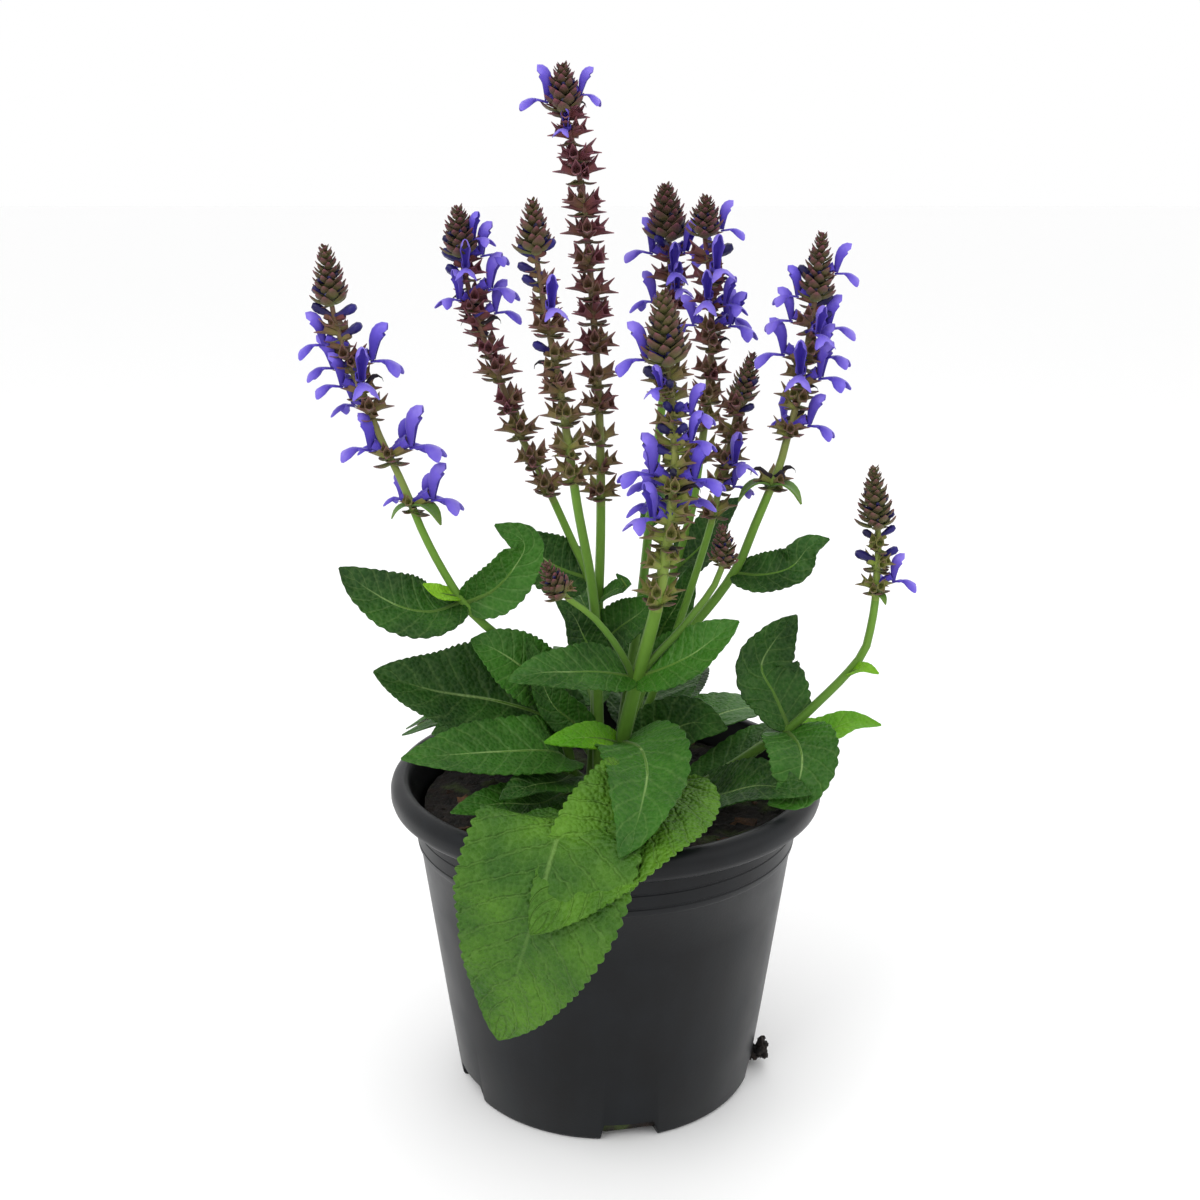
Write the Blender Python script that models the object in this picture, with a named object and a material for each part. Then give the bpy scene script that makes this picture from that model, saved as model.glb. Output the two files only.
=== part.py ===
"""Perennial salvia in a black nursery pot: root ball, leafy shoots and flower spikes.

Lengths are millimetres in the tables and metres in the scene. The origin is the centre of
the pot's base, +Z is up and -Y is the side that faces the viewer.
"""

import math
import random

import bmesh
import bpy
from mathutils import Matrix, Vector
from mathutils.bvhtree import BVHTree

MM = 0.001
GAP = 0.3  # clearance between pieces that touch, and between two plants' parts
SEED = 41

# Pot
POT_SIDES = 32
POT_HEIGHT = 125.5
LIP_RADIUS = 82.5
LIP_DEPTH = 10.5
WALL_TOP_RADIUS = 73.6
COLLAR_BOTTOM_Z = 99.0
BASE_RADIUS = 58.8
WALL = 1.4
FLOOR = 2.5
NOTCH_COUNT = 5
NOTCH_FIRST_DEG = 8.4
NOTCH_HEIGHT = 7.0
NOTCH_HALF_BOTTOM_DEG = 11.8
NOTCH_HALF_TOP_DEG = 9.0
NOTCH_INNER_RADIUS = 47.0

# Root ball
SOIL_SIDES = 16
SOIL_Z = 111.0
SOIL_RINGS = (0.9, 0.55, 0.25)
SOIL_RELIEF = 1.6
CLUMP_DEG = 84.0

# Shoots: square stems, as in the whole mint family
ROOT_DEPTH = 12.0
HOLE_CLEARANCE = 0.45
STEM_STEP = 24.0
SPIKE_TAPER = 0.72
RACHIS_TOP_RADIUS = 1.35
ORGAN_ROOT = 0.55
HEAD_SIDES = 6
HEAD_TAPER = 0.74  # how much narrower the last row of bracts is than the first
TALL_HEAD = 20.0  # a head longer than this has one row more
CALYX_LENGTH = 6.5  # the length that a calyx of size 1 grows to
ROOT_WOBBLE = 0.15  # keeps two organs' roots from sharing an edge, which a union can't join
WHORL_JITTER_DEG = 14.0
BEHIND_DEG = 115.0  # further round than this is the side that the viewer doesn't see
NEAR_MM = 4.0  # a calyx of the whorls is left out this near to a flower placed by hand
NEAR_DEG = 34.0
CLEARANCE = 0.55  # an organ this near to another plant is turned aside
TURNS_DEG = (0, 18, -18, 36, -36)

# Leaves
LEAF_THICKNESS = 0.7
RIB_THICKNESS = 1.3
TOOTH_DEPTH = 0.07


def vec(x, y, z):
    """A point given in millimetres."""
    return Vector((x, y, z))


def clear_scene():
    """Removes every object that the file starts with."""
    for obj in list(bpy.data.objects):
        bpy.data.objects.remove(obj)


def material(name, colour, roughness):
    """A plain Principled finish."""
    made = bpy.data.materials.new(name)
    made.use_nodes = True
    shader = made.node_tree.nodes["Principled BSDF"]
    shader.inputs["Base Color"].default_value = (*colour, 1.0)
    shader.inputs["Roughness"].default_value = roughness
    made.diffuse_color = (*colour, 1.0)
    return made


def mesh_object(name, verts, faces, finish=None):
    """An object from points in millimetres, with its faces pointing out."""
    shape = bmesh.new()
    made = [shape.verts.new(Vector(v) * MM) for v in verts]
    for face in faces:
        shape.faces.new([made[i] for i in face])
    bmesh.ops.recalc_face_normals(shape, faces=shape.faces)
    mesh = bpy.data.meshes.new(name)
    shape.to_mesh(mesh)
    shape.free()
    obj = bpy.data.objects.new(name, mesh)
    bpy.context.scene.collection.objects.link(obj)
    if finish:
        mesh.materials.append(finish)
    return obj


def wobble(rng):
    """A tenth of a millimetre or so, so that no two organs share an edge."""
    return vec(*(rng.uniform(-ROOT_WOBBLE, ROOT_WOBBLE) for _ in range(3)))


class Route:
    """A smooth line through hand-placed points, read by its length in millimetres."""

    STEPS = 12

    def __init__(self, points):
        """Samples a Catmull-Rom curve through the points."""
        ends = [2 * Vector(points[0]) - Vector(points[1])]
        ends += [Vector(p) for p in points]
        ends += [2 * Vector(points[-1]) - Vector(points[-2])]
        self.line = []
        for a, b, c, d in zip(ends, ends[1:], ends[2:], ends[3:]):
            for step in range(self.STEPS):
                t = step / self.STEPS
                self.line.append(
                    0.5
                    * (
                        2 * b
                        + (c - a) * t
                        + (2 * a - 5 * b + 4 * c - d) * t * t
                        + (3 * b - a - 3 * c + d) * t**3
                    )
                )
        self.line.append(ends[-2].copy())
        self.at = [0.0]
        for a, b in zip(self.line, self.line[1:]):
            self.at.append(self.at[-1] + (b - a).length)
        self.length = self.at[-1]

    def point(self, s):
        """The point at length s."""
        s = min(max(s, 0.0), self.length)
        for i in range(1, len(self.at)):
            if self.at[i] >= s:
                share = (s - self.at[i - 1]) / max(self.at[i] - self.at[i - 1], 1e-9)
                return self.line[i - 1].lerp(self.line[i], share)
        return self.line[-1].copy()

    def tangent(self, s):
        """The unit direction at length s."""
        return (self.point(s + 0.5) - self.point(s - 0.5)).normalized()

    def length_at_height(self, z):
        """The length at which the line first reaches height z."""
        for s, point in zip(self.at, self.line):
            if point.z >= z:
                return s
        return self.length


def side_of(direction, hint):
    """(side, normal) square to a direction, with the normal nearest the hint."""
    normal = hint - hint.dot(direction) * direction
    if normal.length < 1e-4:
        normal = direction.orthogonal()
    normal.normalize()
    return direction.cross(normal).normalized(), normal


def sweep(rings):
    """(verts, faces) of rings of equal count, joined, with both ends capped."""
    count = len(rings[0])
    verts = [v for ring in rings for v in ring]
    faces = [tuple(range(count)), tuple(len(verts) - 1 - i for i in range(count))]
    for r in range(len(rings) - 1):
        for i in range(count):
            a, b = r * count + i, r * count + (i + 1) % count
            faces.append((a, b, b + count))
            faces.append((a, b + count, a + count))
    return verts, faces


def stations(start, end, step):
    """Evenly spaced lengths from start to end, about a step apart."""
    count = max(2, round((end - start) / step))
    return [start + (end - start) * i / count for i in range(count + 1)]


def tube(name, route, lengths, radii):
    """A square stem along a route, with a ring at each length."""
    rings = []
    for s, radius in zip(lengths, radii):
        side, normal = side_of(route.tangent(s), Vector((0.3, -1.0, 0.05)))
        turn = [math.tau * (k + 0.5) / 4 for k in range(4)]
        rings.append(
            [route.point(s) + radius * (math.cos(a) * side + math.sin(a) * normal) for a in turn]
        )
    return mesh_object(name, *sweep(rings))


def tapered(lengths, start_radius, end_radius):
    """The radius at each length, from the first to the last."""
    span = lengths[-1] - lengths[0]
    return [start_radius + (end_radius - start_radius) * (s - lengths[0]) / span for s in lengths]


def pointed(rings, tip):
    """(verts, faces) of rings of equal count, joined, with the first capped and the last drawn to a tip."""
    count = len(rings[0])
    verts, faces = sweep(rings)
    faces = [faces[0]] + faces[2:]
    last = len(verts) - count
    for i in range(count):
        faces.append((last + i, last + (i + 1) % count, len(verts)))
    return [*verts, tip], faces


def ribbon(name, points, widths, hint, keel, tip=False):
    """A three-sided petal or scale: flat on the hint's side, ridged on the other."""
    rings = []
    for i, point in enumerate(points[: len(widths)]):
        ahead = points[min(i + 1, len(points) - 1)] - points[max(i - 1, 0)]
        side, normal = side_of(ahead.normalized(), hint)
        rings.append([point - side * widths[i], point - normal * keel, point + side * widths[i]])
    if tip:
        return mesh_object(name, *pointed(rings, points[-1]))
    return mesh_object(name, *sweep(rings))


def leaf_width(t):
    """The outline of a salvia leaf, from 0 to 1 to 0: broad near the base, long towards the tip."""
    return 2.26 * (t + 0.015) ** 0.45 * max(1.0 - t, 0.0) ** 0.8


class Leaf:
    """One leaf: its rib, half width, the way its face looks, fold and stations."""

    def __init__(self, rib, half_width, face, fold=0.25, stations=11, petiole=0.0, wave=0.0):
        """Keeps the leaf's sizes, in millimetres; fold is rise over half width."""
        self.rib = rib
        self.half_width = half_width
        self.face = face
        self.fold = fold
        self.stations = stations
        self.petiole = petiole
        self.wave = wave

    def build(self, name, rib):
        """The leaf as one thin solid with a toothed edge and a thicker rib, along the rib's points."""
        route = Route(rib)
        rings = []
        for i in range(self.stations + 1):
            share = i / self.stations
            s = route.length * share
            side, normal = side_of(route.tangent(s), Vector(self.face))
            t = max(share - self.petiole, 0.0) / (1.0 - self.petiole)
            tooth = 1.0 + TOOTH_DEPTH * (1 if i % 2 else -1)
            width = self.half_width * leaf_width(t) * tooth if share > self.petiole else 0.0
            width = max(width, 0.8 if i < self.stations else 0.35)
            rise = width * self.fold
            wave = self.wave * math.sin(i * 1.9) * min(1.0, width / self.half_width)
            centre = route.point(s)
            forward = route.tangent(s) * (0.12 * width if i % 2 else 0.0)
            left = centre + forward - side * width + normal * (rise + wave)
            right = centre + forward + side * width + normal * (rise - wave)
            under = normal * LEAF_THICKNESS
            rings.append(
                [left, centre, right, right - under, centre - normal * RIB_THICKNESS, left - under]
            )
        return mesh_object(name, *sweep(rings))


def cup(root, out, up, stations, tip):
    """(verts, faces) of a three-sided shape: one corner above and two below, drawn to a tip."""
    side, normal = side_of(out, up)
    ways = (normal, 0.9 * side - 0.55 * normal, -0.9 * side - 0.55 * normal)
    rings = [[root + out * reach + way * radius for way in ways] for reach, radius in stations]
    return pointed(rings, root + out * tip[0] + normal * tip[1])


def open_flower(root, out, up, size):
    """(verts, faces) of calyx tube, raised curved hood and spread, rounded lower lip in one skin."""
    side, normal = side_of(out, up)

    def at(reach, rise, across=0.0):
        return root + (out * reach + normal * rise + side * across) * size

    verts = [
        *(at(0, 0.6), at(0, 0, 0.6), at(0, -0.6), at(0, 0, -0.6)),
        *(at(6.2, 1.6), at(6.4, 0, 1.7), at(6.2, -1.4), at(6.4, 0, -1.7)),
        *(at(7.4, 4.8), at(9.6, 4.0, 1.6), at(9.6, 4.0, -1.6)),
        *(at(10.4, 7.6), at(11.4, 5.9, 1.5), at(11.4, 5.9, -1.5)),
        at(14.4, 6.0),
        *(at(9.8, -1.2, 2.7), at(9.0, -3.2), at(9.8, -1.2, -2.7)),
        *(at(13.0, -3.8, 2.0), at(12.2, -5.2), at(13.0, -3.8, -2.0)),
    ]
    faces = [(0, 1, 2, 3), (18, 19, 20)]
    for i in range(4):
        faces += [(i, (i + 1) % 4, 4 + (i + 1) % 4), (i, 4 + (i + 1) % 4, 4 + i)]
    for low, high in (((4, 5, 7), (8, 9, 10)), ((8, 9, 10), (11, 12, 13)),
                      ((5, 6, 7), (15, 16, 17)), ((15, 16, 17), (18, 19, 20))):
        for i in range(3):
            j = (i + 1) % 3
            faces += [(low[i], low[j], high[j]), (low[i], high[j], high[i])]
    faces += [(11, 12, 14), (12, 13, 14), (13, 11, 14)]
    return verts, faces


def flower_shape(kind, root, out, up, size):
    """(verts, faces) of a spent calyx (C), a bud (B), a dried flower (W) or an open one (F)."""
    if kind == "F":
        return open_flower(root, out, up, size)
    if kind == "B":
        return cup(root, out, up, ((0, ORGAN_ROOT), (5.0 * size, 1.6 * size), (8.6 * size, 2.1 * size)),
                   (11.4 * size, 0.3))
    if kind == "W":
        return cup(root, out, up, ((0, ORGAN_ROOT), (6.2 * size, 2.3 * size), (6.6 * size, 0.8)),
                   (11.5 * size, -1.2))
    return cup(root, out, up, ((0, ORGAN_ROOT), (8.0 * size, 2.4 * size)), (4.6 * size, 0.0))


class Plot:
    """What is already standing, so that a new piece can be bent clear or left out."""

    def __init__(self):
        """Starts empty."""
        self.trees = {}

    @staticmethod
    def tree_of(obj, swell):
        """A search tree of the object's faces, swollen by so many millimetres."""
        shape = bmesh.new()
        shape.from_mesh(obj.data)
        shape.normal_update()
        for v in shape.verts:
            v.co += v.normal * swell * MM
        tree = BVHTree.FromBMesh(shape)
        shape.free()
        return tree

    def add(self, plant, obj):
        """Notes a piece of a plant."""
        self.trees.setdefault(plant, []).append(self.tree_of(obj, 0.0))

    def crossed(self, plant, obj):
        """The other plants whose pieces the object would touch."""
        tree = self.tree_of(obj, CLEARANCE)
        return [
            other
            for other, trees in self.trees.items()
            if other != plant and any(tree.overlap(each) for each in trees)
        ]


def fuse(base, pieces):
    """Joins the pieces to the base by one union, and removes them."""
    if pieces:
        group = bpy.data.collections.new(base.name + "_pieces")
        bpy.context.scene.collection.children.link(group)
        for piece in pieces:
            group.objects.link(piece)
            bpy.context.scene.collection.objects.unlink(piece)
        union = base.modifiers.new("grown_together", "BOOLEAN")
        union.operation = "UNION"
        union.operand_type = "COLLECTION"
        union.collection = group
        union.solver = "MANIFOLD"
        bpy.context.view_layer.update()
        graph = bpy.context.evaluated_depsgraph_get()
        mesh = bpy.data.meshes.new_from_object(base.evaluated_get(graph))
        base.modifiers.clear()
        base.data = mesh
        for piece in pieces:
            bpy.data.objects.remove(piece)
        bpy.data.collections.remove(group)
    return base


def dress(obj, finish, smooth=False):
    """Gives the object its only material, and its shading."""
    obj.data.materials.clear()
    obj.data.materials.append(finish)
    for polygon in obj.data.polygons:
        polygon.material_index = 0
    if smooth:
        obj.data.shade_smooth()
        obj.data.set_sharp_from_angle(angle=math.radians(35))
    return obj


def compass(degrees, radius, z):
    """A point round the pot: 0 degrees faces the viewer, 90 is +X."""
    a = math.radians(degrees)
    return vec(radius * math.sin(a), -radius * math.cos(a), z)


def wall_radius(z):
    """The pot wall's outer radius below the collar."""
    return BASE_RADIUS + (WALL_TOP_RADIUS - 1.6 - BASE_RADIUS) * z / COLLAR_BOTTOM_Z


def turned(name, profile, sides):
    """A closed solid turned from a profile that starts and ends on the axis."""
    verts = [vec(0, 0, profile[0][1]), vec(0, 0, profile[-1][1])]
    faces = []
    inner = profile[1:-1]
    for radius, z in inner:
        verts += [compass(360 * k / sides, radius, z) for k in range(sides)]
    last = 2 + (len(inner) - 1) * sides
    for k in range(sides):
        n = (k + 1) % sides
        faces += [(0, 2 + n, 2 + k), (1, last + k, last + n)]
        for r in range(len(inner) - 1):
            a = 2 + r * sides
            faces.append((a + k, a + n, a + sides + n, a + sides + k))
    return mesh_object(name, verts, faces)


def build_pot(finish):
    """The moulded pot: tapered wall, collar, rolled lip and five drain notches."""
    lip_z = POT_HEIGHT - LIP_DEPTH
    inner_top = WALL_TOP_RADIUS - WALL
    profile = [
        (0, 0),
        (BASE_RADIUS - 1.2, 0),
        (BASE_RADIUS, 1.6),
        (wall_radius(COLLAR_BOTTOM_Z), COLLAR_BOTTOM_Z),
        (WALL_TOP_RADIUS - 0.8, COLLAR_BOTTOM_Z + 1),
        (WALL_TOP_RADIUS, lip_z),
        (LIP_RADIUS - 2.2, lip_z + 0.6),
        (LIP_RADIUS, lip_z + 3.4),
        (LIP_RADIUS - 0.2, POT_HEIGHT - 3),
        (LIP_RADIUS - 5.0, POT_HEIGHT),
        (LIP_RADIUS - 7.2, POT_HEIGHT - 2.2),
        (inner_top, lip_z),
        (wall_radius(COLLAR_BOTTOM_Z) - WALL, COLLAR_BOTTOM_Z),
        (wall_radius(FLOOR) - WALL, FLOOR),
        (0, FLOOR),
    ]
    pot = turned("pot", profile, POT_SIDES)
    cutters = []
    for k in range(NOTCH_COUNT):
        middle = NOTCH_FIRST_DEG + 360 * k / NOTCH_COUNT
        rings = []
        for radius in (NOTCH_INNER_RADIUS, LIP_RADIUS):
            low, high = NOTCH_HALF_BOTTOM_DEG, NOTCH_HALF_TOP_DEG
            rings.append(
                [
                    compass(middle - low, radius, -3),
                    compass(middle + low, radius, -3),
                    compass(middle + high, radius, NOTCH_HEIGHT),
                    compass(middle - high, radius, NOTCH_HEIGHT),
                ]
            )
        cutter = mesh_object(f"notch_{k}", *sweep(rings))
        cutter.hide_render = True
        cutter.display_type = "WIRE"
        cutters.append(cutter)
    cut_away(pot, cutters)
    return dress(pot, finish, smooth=True)


def cut_away(obj, cutters):
    """Cuts the cutters from the object and removes them."""
    for cutter in cutters:
        cut = obj.modifiers.new("cut", "BOOLEAN")
        cut.operation = "DIFFERENCE"
        cut.object = cutter
        cut.solver = "EXACT"
    bpy.context.view_layer.update()
    graph = bpy.context.evaluated_depsgraph_get()
    mesh = bpy.data.meshes.new_from_object(obj.evaluated_get(graph))
    obj.modifiers.clear()
    obj.data = mesh
    for cutter in cutters:
        bpy.data.objects.remove(cutter)


def build_soil(finish, shoots):
    """The root ball that fills the pot, with crumbly relief, stem holes and a washed-out clump."""
    rng = random.Random(SEED)
    floor_z = FLOOR + GAP
    top_radius = wall_radius(COLLAR_BOTTOM_Z) - WALL - GAP
    profile = [
        (0, floor_z),
        (wall_radius(floor_z) - WALL - 2 * GAP, floor_z),
        (top_radius, COLLAR_BOTTOM_Z),
        (top_radius, SOIL_Z - 1),
        *[(top_radius * share, SOIL_Z) for share in SOIL_RINGS],
        (0, SOIL_Z),
    ]
    soil = turned("potting_soil", profile, SOIL_SIDES)
    for v in soil.data.vertices:
        if v.co.z > (SOIL_Z - 0.5) * MM:
            v.co.z += rng.uniform(-SOIL_RELIEF, SOIL_RELIEF) * MM
    clump = []
    for radius, z, size in ((57, 5.0, (8.0, 4.3, 1.7)), (63.1, 6.6, (2.2, 4.6, 5.4))):
        shape = bmesh.new()
        bmesh.ops.create_icosphere(shape, subdivisions=1, radius=1.0)
        for v in shape.verts:
            v.co *= rng.uniform(0.86, 1.0)
        turn = Matrix.Rotation(math.radians(CLUMP_DEG - 90), 4, "Z")
        place = Matrix.Translation(compass(CLUMP_DEG, radius, z) * MM) @ turn
        shape.transform(place @ Matrix.Diagonal((*[s * MM for s in size], 1.0)))
        mesh = bpy.data.meshes.new("clump")
        shape.to_mesh(mesh)
        shape.free()
        lump = bpy.data.objects.new("clump", mesh)
        bpy.context.scene.collection.objects.link(lump)
        clump.append(lump)
    fuse(soil, clump)
    holes = []
    for shoot in shoots:
        route, lengths, radii = shoot.stem()
        clear = route.length_at_height(SOIL_Z + 7)
        kept = sum(s < clear for s in lengths) + 1
        wider = [radius + HOLE_CLEARANCE for radius in [radii[0], *radii[:kept]]]
        hole = tube("hole", route, [0.0, *lengths[:kept]], wider)
        hole.hide_render = True
        holes.append(hole)
    cut_away(soil, holes)
    return dress(soil, finish)


class Shoot:
    """A square green stem with its leaves; it may carry side shoots."""

    def __init__(self, name, points, radius, spike_z, leaves, sides=()):
        """Keeps the route, in millimetres, the stem's radius and where its flower spike starts."""
        self.name = name
        self.route = [Vector(p) for p in points]
        self.radius = radius
        self.spike_z = spike_z
        self.leaves = leaves
        self.sides = sides

    def lines(self):
        """(route, start, radius, spike start) of the main stem and of each side shoot."""
        deep = [self.route[0] - vec(0, 0, ROOT_DEPTH + lower) for lower in (2, 0)]
        rooted = Route([*deep, *self.route])
        found = [(rooted, 1.3, self.radius, rooted.length_at_height(self.spike_z))]
        for points, radius, spike_z in self.sides:
            side = Route(points)
            found.append((side, 0.0, radius, side.length_at_height(spike_z)))
        return found

    def stem(self, line=0):
        """(route, lengths, radii) of one of its stems, up to where the flower spike starts."""
        route, start, radius, end = self.lines()[line]
        lengths = stations(start, end, STEM_STEP)
        return route, lengths, tapered(lengths, radius, radius * SPIKE_TAPER)

    def stem_pieces(self):
        """The main stem's solid, then one for each side shoot."""
        count = 1 + len(self.sides)
        return [tube(f"{self.name}_{i}", *self.stem(i)) for i in range(count)]


class Spike:
    """A flower spike: rachis, whorls of calyxes, open flowers, buds, dried flowers and a bud head."""

    def __init__(self, name, shoot, branch, head, zones=(), flowers=(), bracts=()):
        """Keeps the zones and the hand-placed flowers, both by height in millimetres.

        head is (height where it starts, half width); a zone is (from, to, spacing, calyxes
        in a whorl, calyx length); a flower is (height, compass degrees, kind, size).
        """
        self.name = name
        self.shoot = shoot
        self.branch = branch
        self.head = head
        self.zones = zones
        self.flowers = flowers
        self.bracts = bracts

    def rachis(self):
        """(route, start, end, radius at the start) of the spike's own stem."""
        route, _, radius, end = self.shoot.lines()[self.branch]
        return route, end + GAP, route.length_at_height(self.head[0] + 3), radius * SPIKE_TAPER

    def base(self):
        """The rachis as a solid."""
        route, start, end, radius = self.rachis()
        lengths = stations(start, end, STEM_STEP)
        return tube(self.name, route, lengths, tapered(lengths, radius, RACHIS_TOP_RADIUS))

    def head_piece(self):
        """The closed head: rows of pointed bracts, each row smaller than the one below."""
        route, _, _, _ = self.rachis()
        start = route.length_at_height(self.head[0])
        span = route.length - start
        rows = 4 if span > TALL_HEAD else 3
        rings = []
        for row in range(rows):
            for lift, bract in ((0.0, False), (0.62, True)):
                share = (row + lift) / rows
                size = self.head[1] * (1.0 - HEAD_TAPER * share**1.3)
                ring = []
                for k in range(HEAD_SIDES):
                    tip = bract and (k + row) % 2 == 0
                    radius = size * (1.0 if tip else 0.66) if bract else size * 0.5
                    s = start + span * (share + (0.10 if tip else 0.0))
                    side, normal = side_of(route.tangent(s), Vector((0, -1, 0)))
                    a = math.tau * k / HEAD_SIDES
                    ring.append(route.point(s) + radius * (math.cos(a) * normal + math.sin(a) * side))
                rings.append(ring)
        return mesh_object(self.name + "_head", *pointed(rings, route.point(route.length)))

    def organ(self, root, degrees, rise, make, length, width):
        """One organ that leaves the rachis at a compass bearing, rising outwards."""
        out = (compass(degrees, 1.0, 0.0) + vec(0, 0, rise)).normalized()
        return make(f"{self.name}_organ", root, out, Vector((0, 0, 1)), length, width)

    def whorls(self, rng):
        """(length, degrees, kind, size) of everything that grows below the head."""
        route, start, _, _ = self.rachis()
        found = []
        for height, degrees, kind, size in self.flowers:
            found.append((route.length_at_height(height), degrees, kind, size))
        for low, high, spacing, count, length in self.zones:
            height, row = low, 0
            while height < high:
                s = route.length_at_height(height)
                for k in range(count):
                    jitter = rng.uniform(-WHORL_JITTER_DEG, WHORL_JITTER_DEG)
                    degrees = 360 * (k + 0.5 * (row % 2)) / count + jitter
                    behind = abs(turn_between(degrees, 0)) > BEHIND_DEG
                    kind = "F" if behind and size_of_bloom(self, height) and row % 3 == 0 else "C"
                    if all(
                        abs(s - f[0]) > NEAR_MM or abs(turn_between(degrees, f[1])) > NEAR_DEG
                        for f in found
                    ):
                        found.append((s, degrees, kind, length / CALYX_LENGTH))
                height += spacing
                row += 1
        return [f for f in found if f[0] > start + 0.8]

    def build(self, base, plot, finish):
        """The whole spike as one solid, clear of every other plant part."""
        rng = random.Random(SEED + len(self.name) + int(self.head[0]))
        route, start, _, _ = self.rachis()
        wanted = [self.head_piece()]
        for s, degrees, kind, size in self.whorls(rng):
            wanted.append(self.flower(route, s, degrees, kind, size, rng, plot))
        for height, degrees, length in self.bracts:
            root = route.point(max(route.length_at_height(height), start + 1.4)) + wobble(rng)
            wanted.append(self.organ(root, degrees, 0.1, drooping_bract, length, 1.5))
        kept = []
        for piece in wanted:
            if plot.crossed(self.name, piece):
                bpy.data.objects.remove(piece)
            else:
                kept.append(piece)
        for piece in kept:
            plot.add(self.name, piece)
        return dress(one_body(fuse(base, kept)), finish)

    def flower(self, route, s, degrees, kind, size, rng, plot):
        """One flower with its calyx, turned round the rachis until it is clear of other plants."""
        rise = rng.uniform(0.25, 0.6)
        root = route.point(s) + wobble(rng)
        for turn in TURNS_DEG:
            out = (compass(degrees + turn, 1.0, 0.0) + vec(0, 0, rise)).normalized()
            shape = flower_shape(kind, root + out * 0.2, out, Vector((0, 0, 1)), size)
            made = mesh_object(self.name + "_flower", *shape)
            if turn == TURNS_DEG[-1] or not plot.crossed(self.name, made):
                return made
            bpy.data.objects.remove(made)


def turn_between(a, b):
    """The signed angle between two bearings, in degrees."""
    return (a - b + 180) % 360 - 180


def size_of_bloom(spike, height):
    """True at a height where the spike is in flower."""
    blooms = [f[0] for f in spike.flowers if f[2] == "F"]
    return bool(blooms) and min(blooms) - 3 < height < max(blooms) + 3


def drooping_bract(name, root, out, up, length, width):
    """A narrow green leaf under a whorl that arches over and hangs."""
    points = [
        root,
        root + out * 0.4 * length + up * 0.08 * length,
        root + out * 0.75 * length - up * 0.14 * length,
        root + out * 0.92 * length - up * 0.5 * length,
    ]
    return ribbon(name, points, (0.8, width, width * 0.7), up, 0.8, True)


def one_body(obj):
    """Keeps the largest outer skin: fills sealed hollows and drops loose scraps."""
    shape = bmesh.new()
    shape.from_mesh(obj.data)
    bmesh.ops.triangulate(shape, faces=shape.faces)
    shape.faces.ensure_lookup_table()
    seen = set()
    islands = []
    for face in shape.faces:
        if face.index in seen:
            continue
        island, queue = [], [face]
        seen.add(face.index)
        while queue:
            at = queue.pop()
            island.append(at)
            for edge in at.edges:
                for other in edge.link_faces:
                    if other.index not in seen:
                        seen.add(other.index)
                        queue.append(other)
        volume = sum(
            f.verts[0].co.dot(f.verts[1].co.cross(f.verts[2].co)) / 6 for f in island
        )
        islands.append((volume, island))
    islands.sort(key=lambda found: -found[0])
    for _, island in islands[1:]:
        bmesh.ops.delete(shape, geom=island, context="FACES")
    shape.to_mesh(obj.data)
    shape.free()
    return obj


def rooted(rib, owner):
    """The rib with its first point moved onto the nearest point of the owner's stems."""
    first = Vector(rib[0])
    best = None
    for route, _, _, end in owner.lines():
        for s, point in zip(route.at, route.line):
            if s < end - 2 and (best is None or (point - first).length < (best - first).length):
                best = point
    return [best, *[Vector(p) for p in rib[1:]]]


def build_shoot(shoot, pieces, plot, finish):
    """The stem with its side shoots and leaves as one solid."""
    base, extra = pieces[0], list(pieces[1:])
    for leaf in shoot.leaves:
        blade = leaf.build(shoot.name + "_leaf", rooted(leaf.rib, shoot))
        extra.append(blade)
        plot.add(shoot.name, blade)
    obj = one_body(fuse(base, extra))
    obj.name = shoot.name
    return dress(obj, finish)


TALL_BACK = Shoot(
    "stem_tall_back",
    [(-2, 8, 110), (-3, 8, 150), (-3, 8, 182), (-2, 6, 214), (-2, 4, 245), (-3, 4, 274),
     (-5, 4, 303), (-7, 4, 327), (-10, 2, 349), (-14, 0, 367), (-15, 0, 383)],
    2.5,
    226,
    [
        Leaf([(-2, 8, 120), (-14, 26, 134), (-24, 46, 140), (-34, 66, 138), (-46, 90, 116)],
             17, (0, 0, 1), 0.2, 7, 0.2),
        Leaf([(-3, 8, 140), (-8, 26, 152), (-12, 44, 158), (-14, 62, 152)], 11, (0, 0, 1), 0.25, 6, 0.15),
        Leaf([(-3, 8, 178), (-10, 22, 188), (-14, 34, 192)], 6, (0, 0, 1), 0.3, 6),
        Leaf([(-3, 8, 172), (5, 2, 181), (13, -4, 189), (18, -8, 197)], 9, (-0.3, -1, 0.6), 0.3, 7),
        Leaf([(-3, 6, 190), (3, -2, 197), (7, -7, 200), (4, -9, 205)], 4, (0, -1, 1), 0.3, 6),
    ],
)
LEFT_MID = Shoot(
    "stem_left_mid",
    [(-6, 0, 114), (-4, 4, 151), (-4, 4, 183), (-7, 4, 201), (-13, 4, 215), (-22, 2, 236),
     (-31, 2, 254), (-37, 2, 271), (-43, 2, 287), (-48, 2, 303), (-51, 2, 320), (-52, 0, 336)],
    2.2,
    228,
    [
        Leaf([(-5, 4, 200), (-17, 2, 204), (-26, 0, 211), (-34, -2, 220)], 11, (-0.4, -1, 0.8), 0.25, 7),
        Leaf([(-5, 2, 118), (-26, 14, 130), (-46, 24, 136), (-64, 32, 136), (-82, 40, 126)],
             15, (0, 0, 1), 0.2, 7, 0.2),
    ],
)
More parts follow.
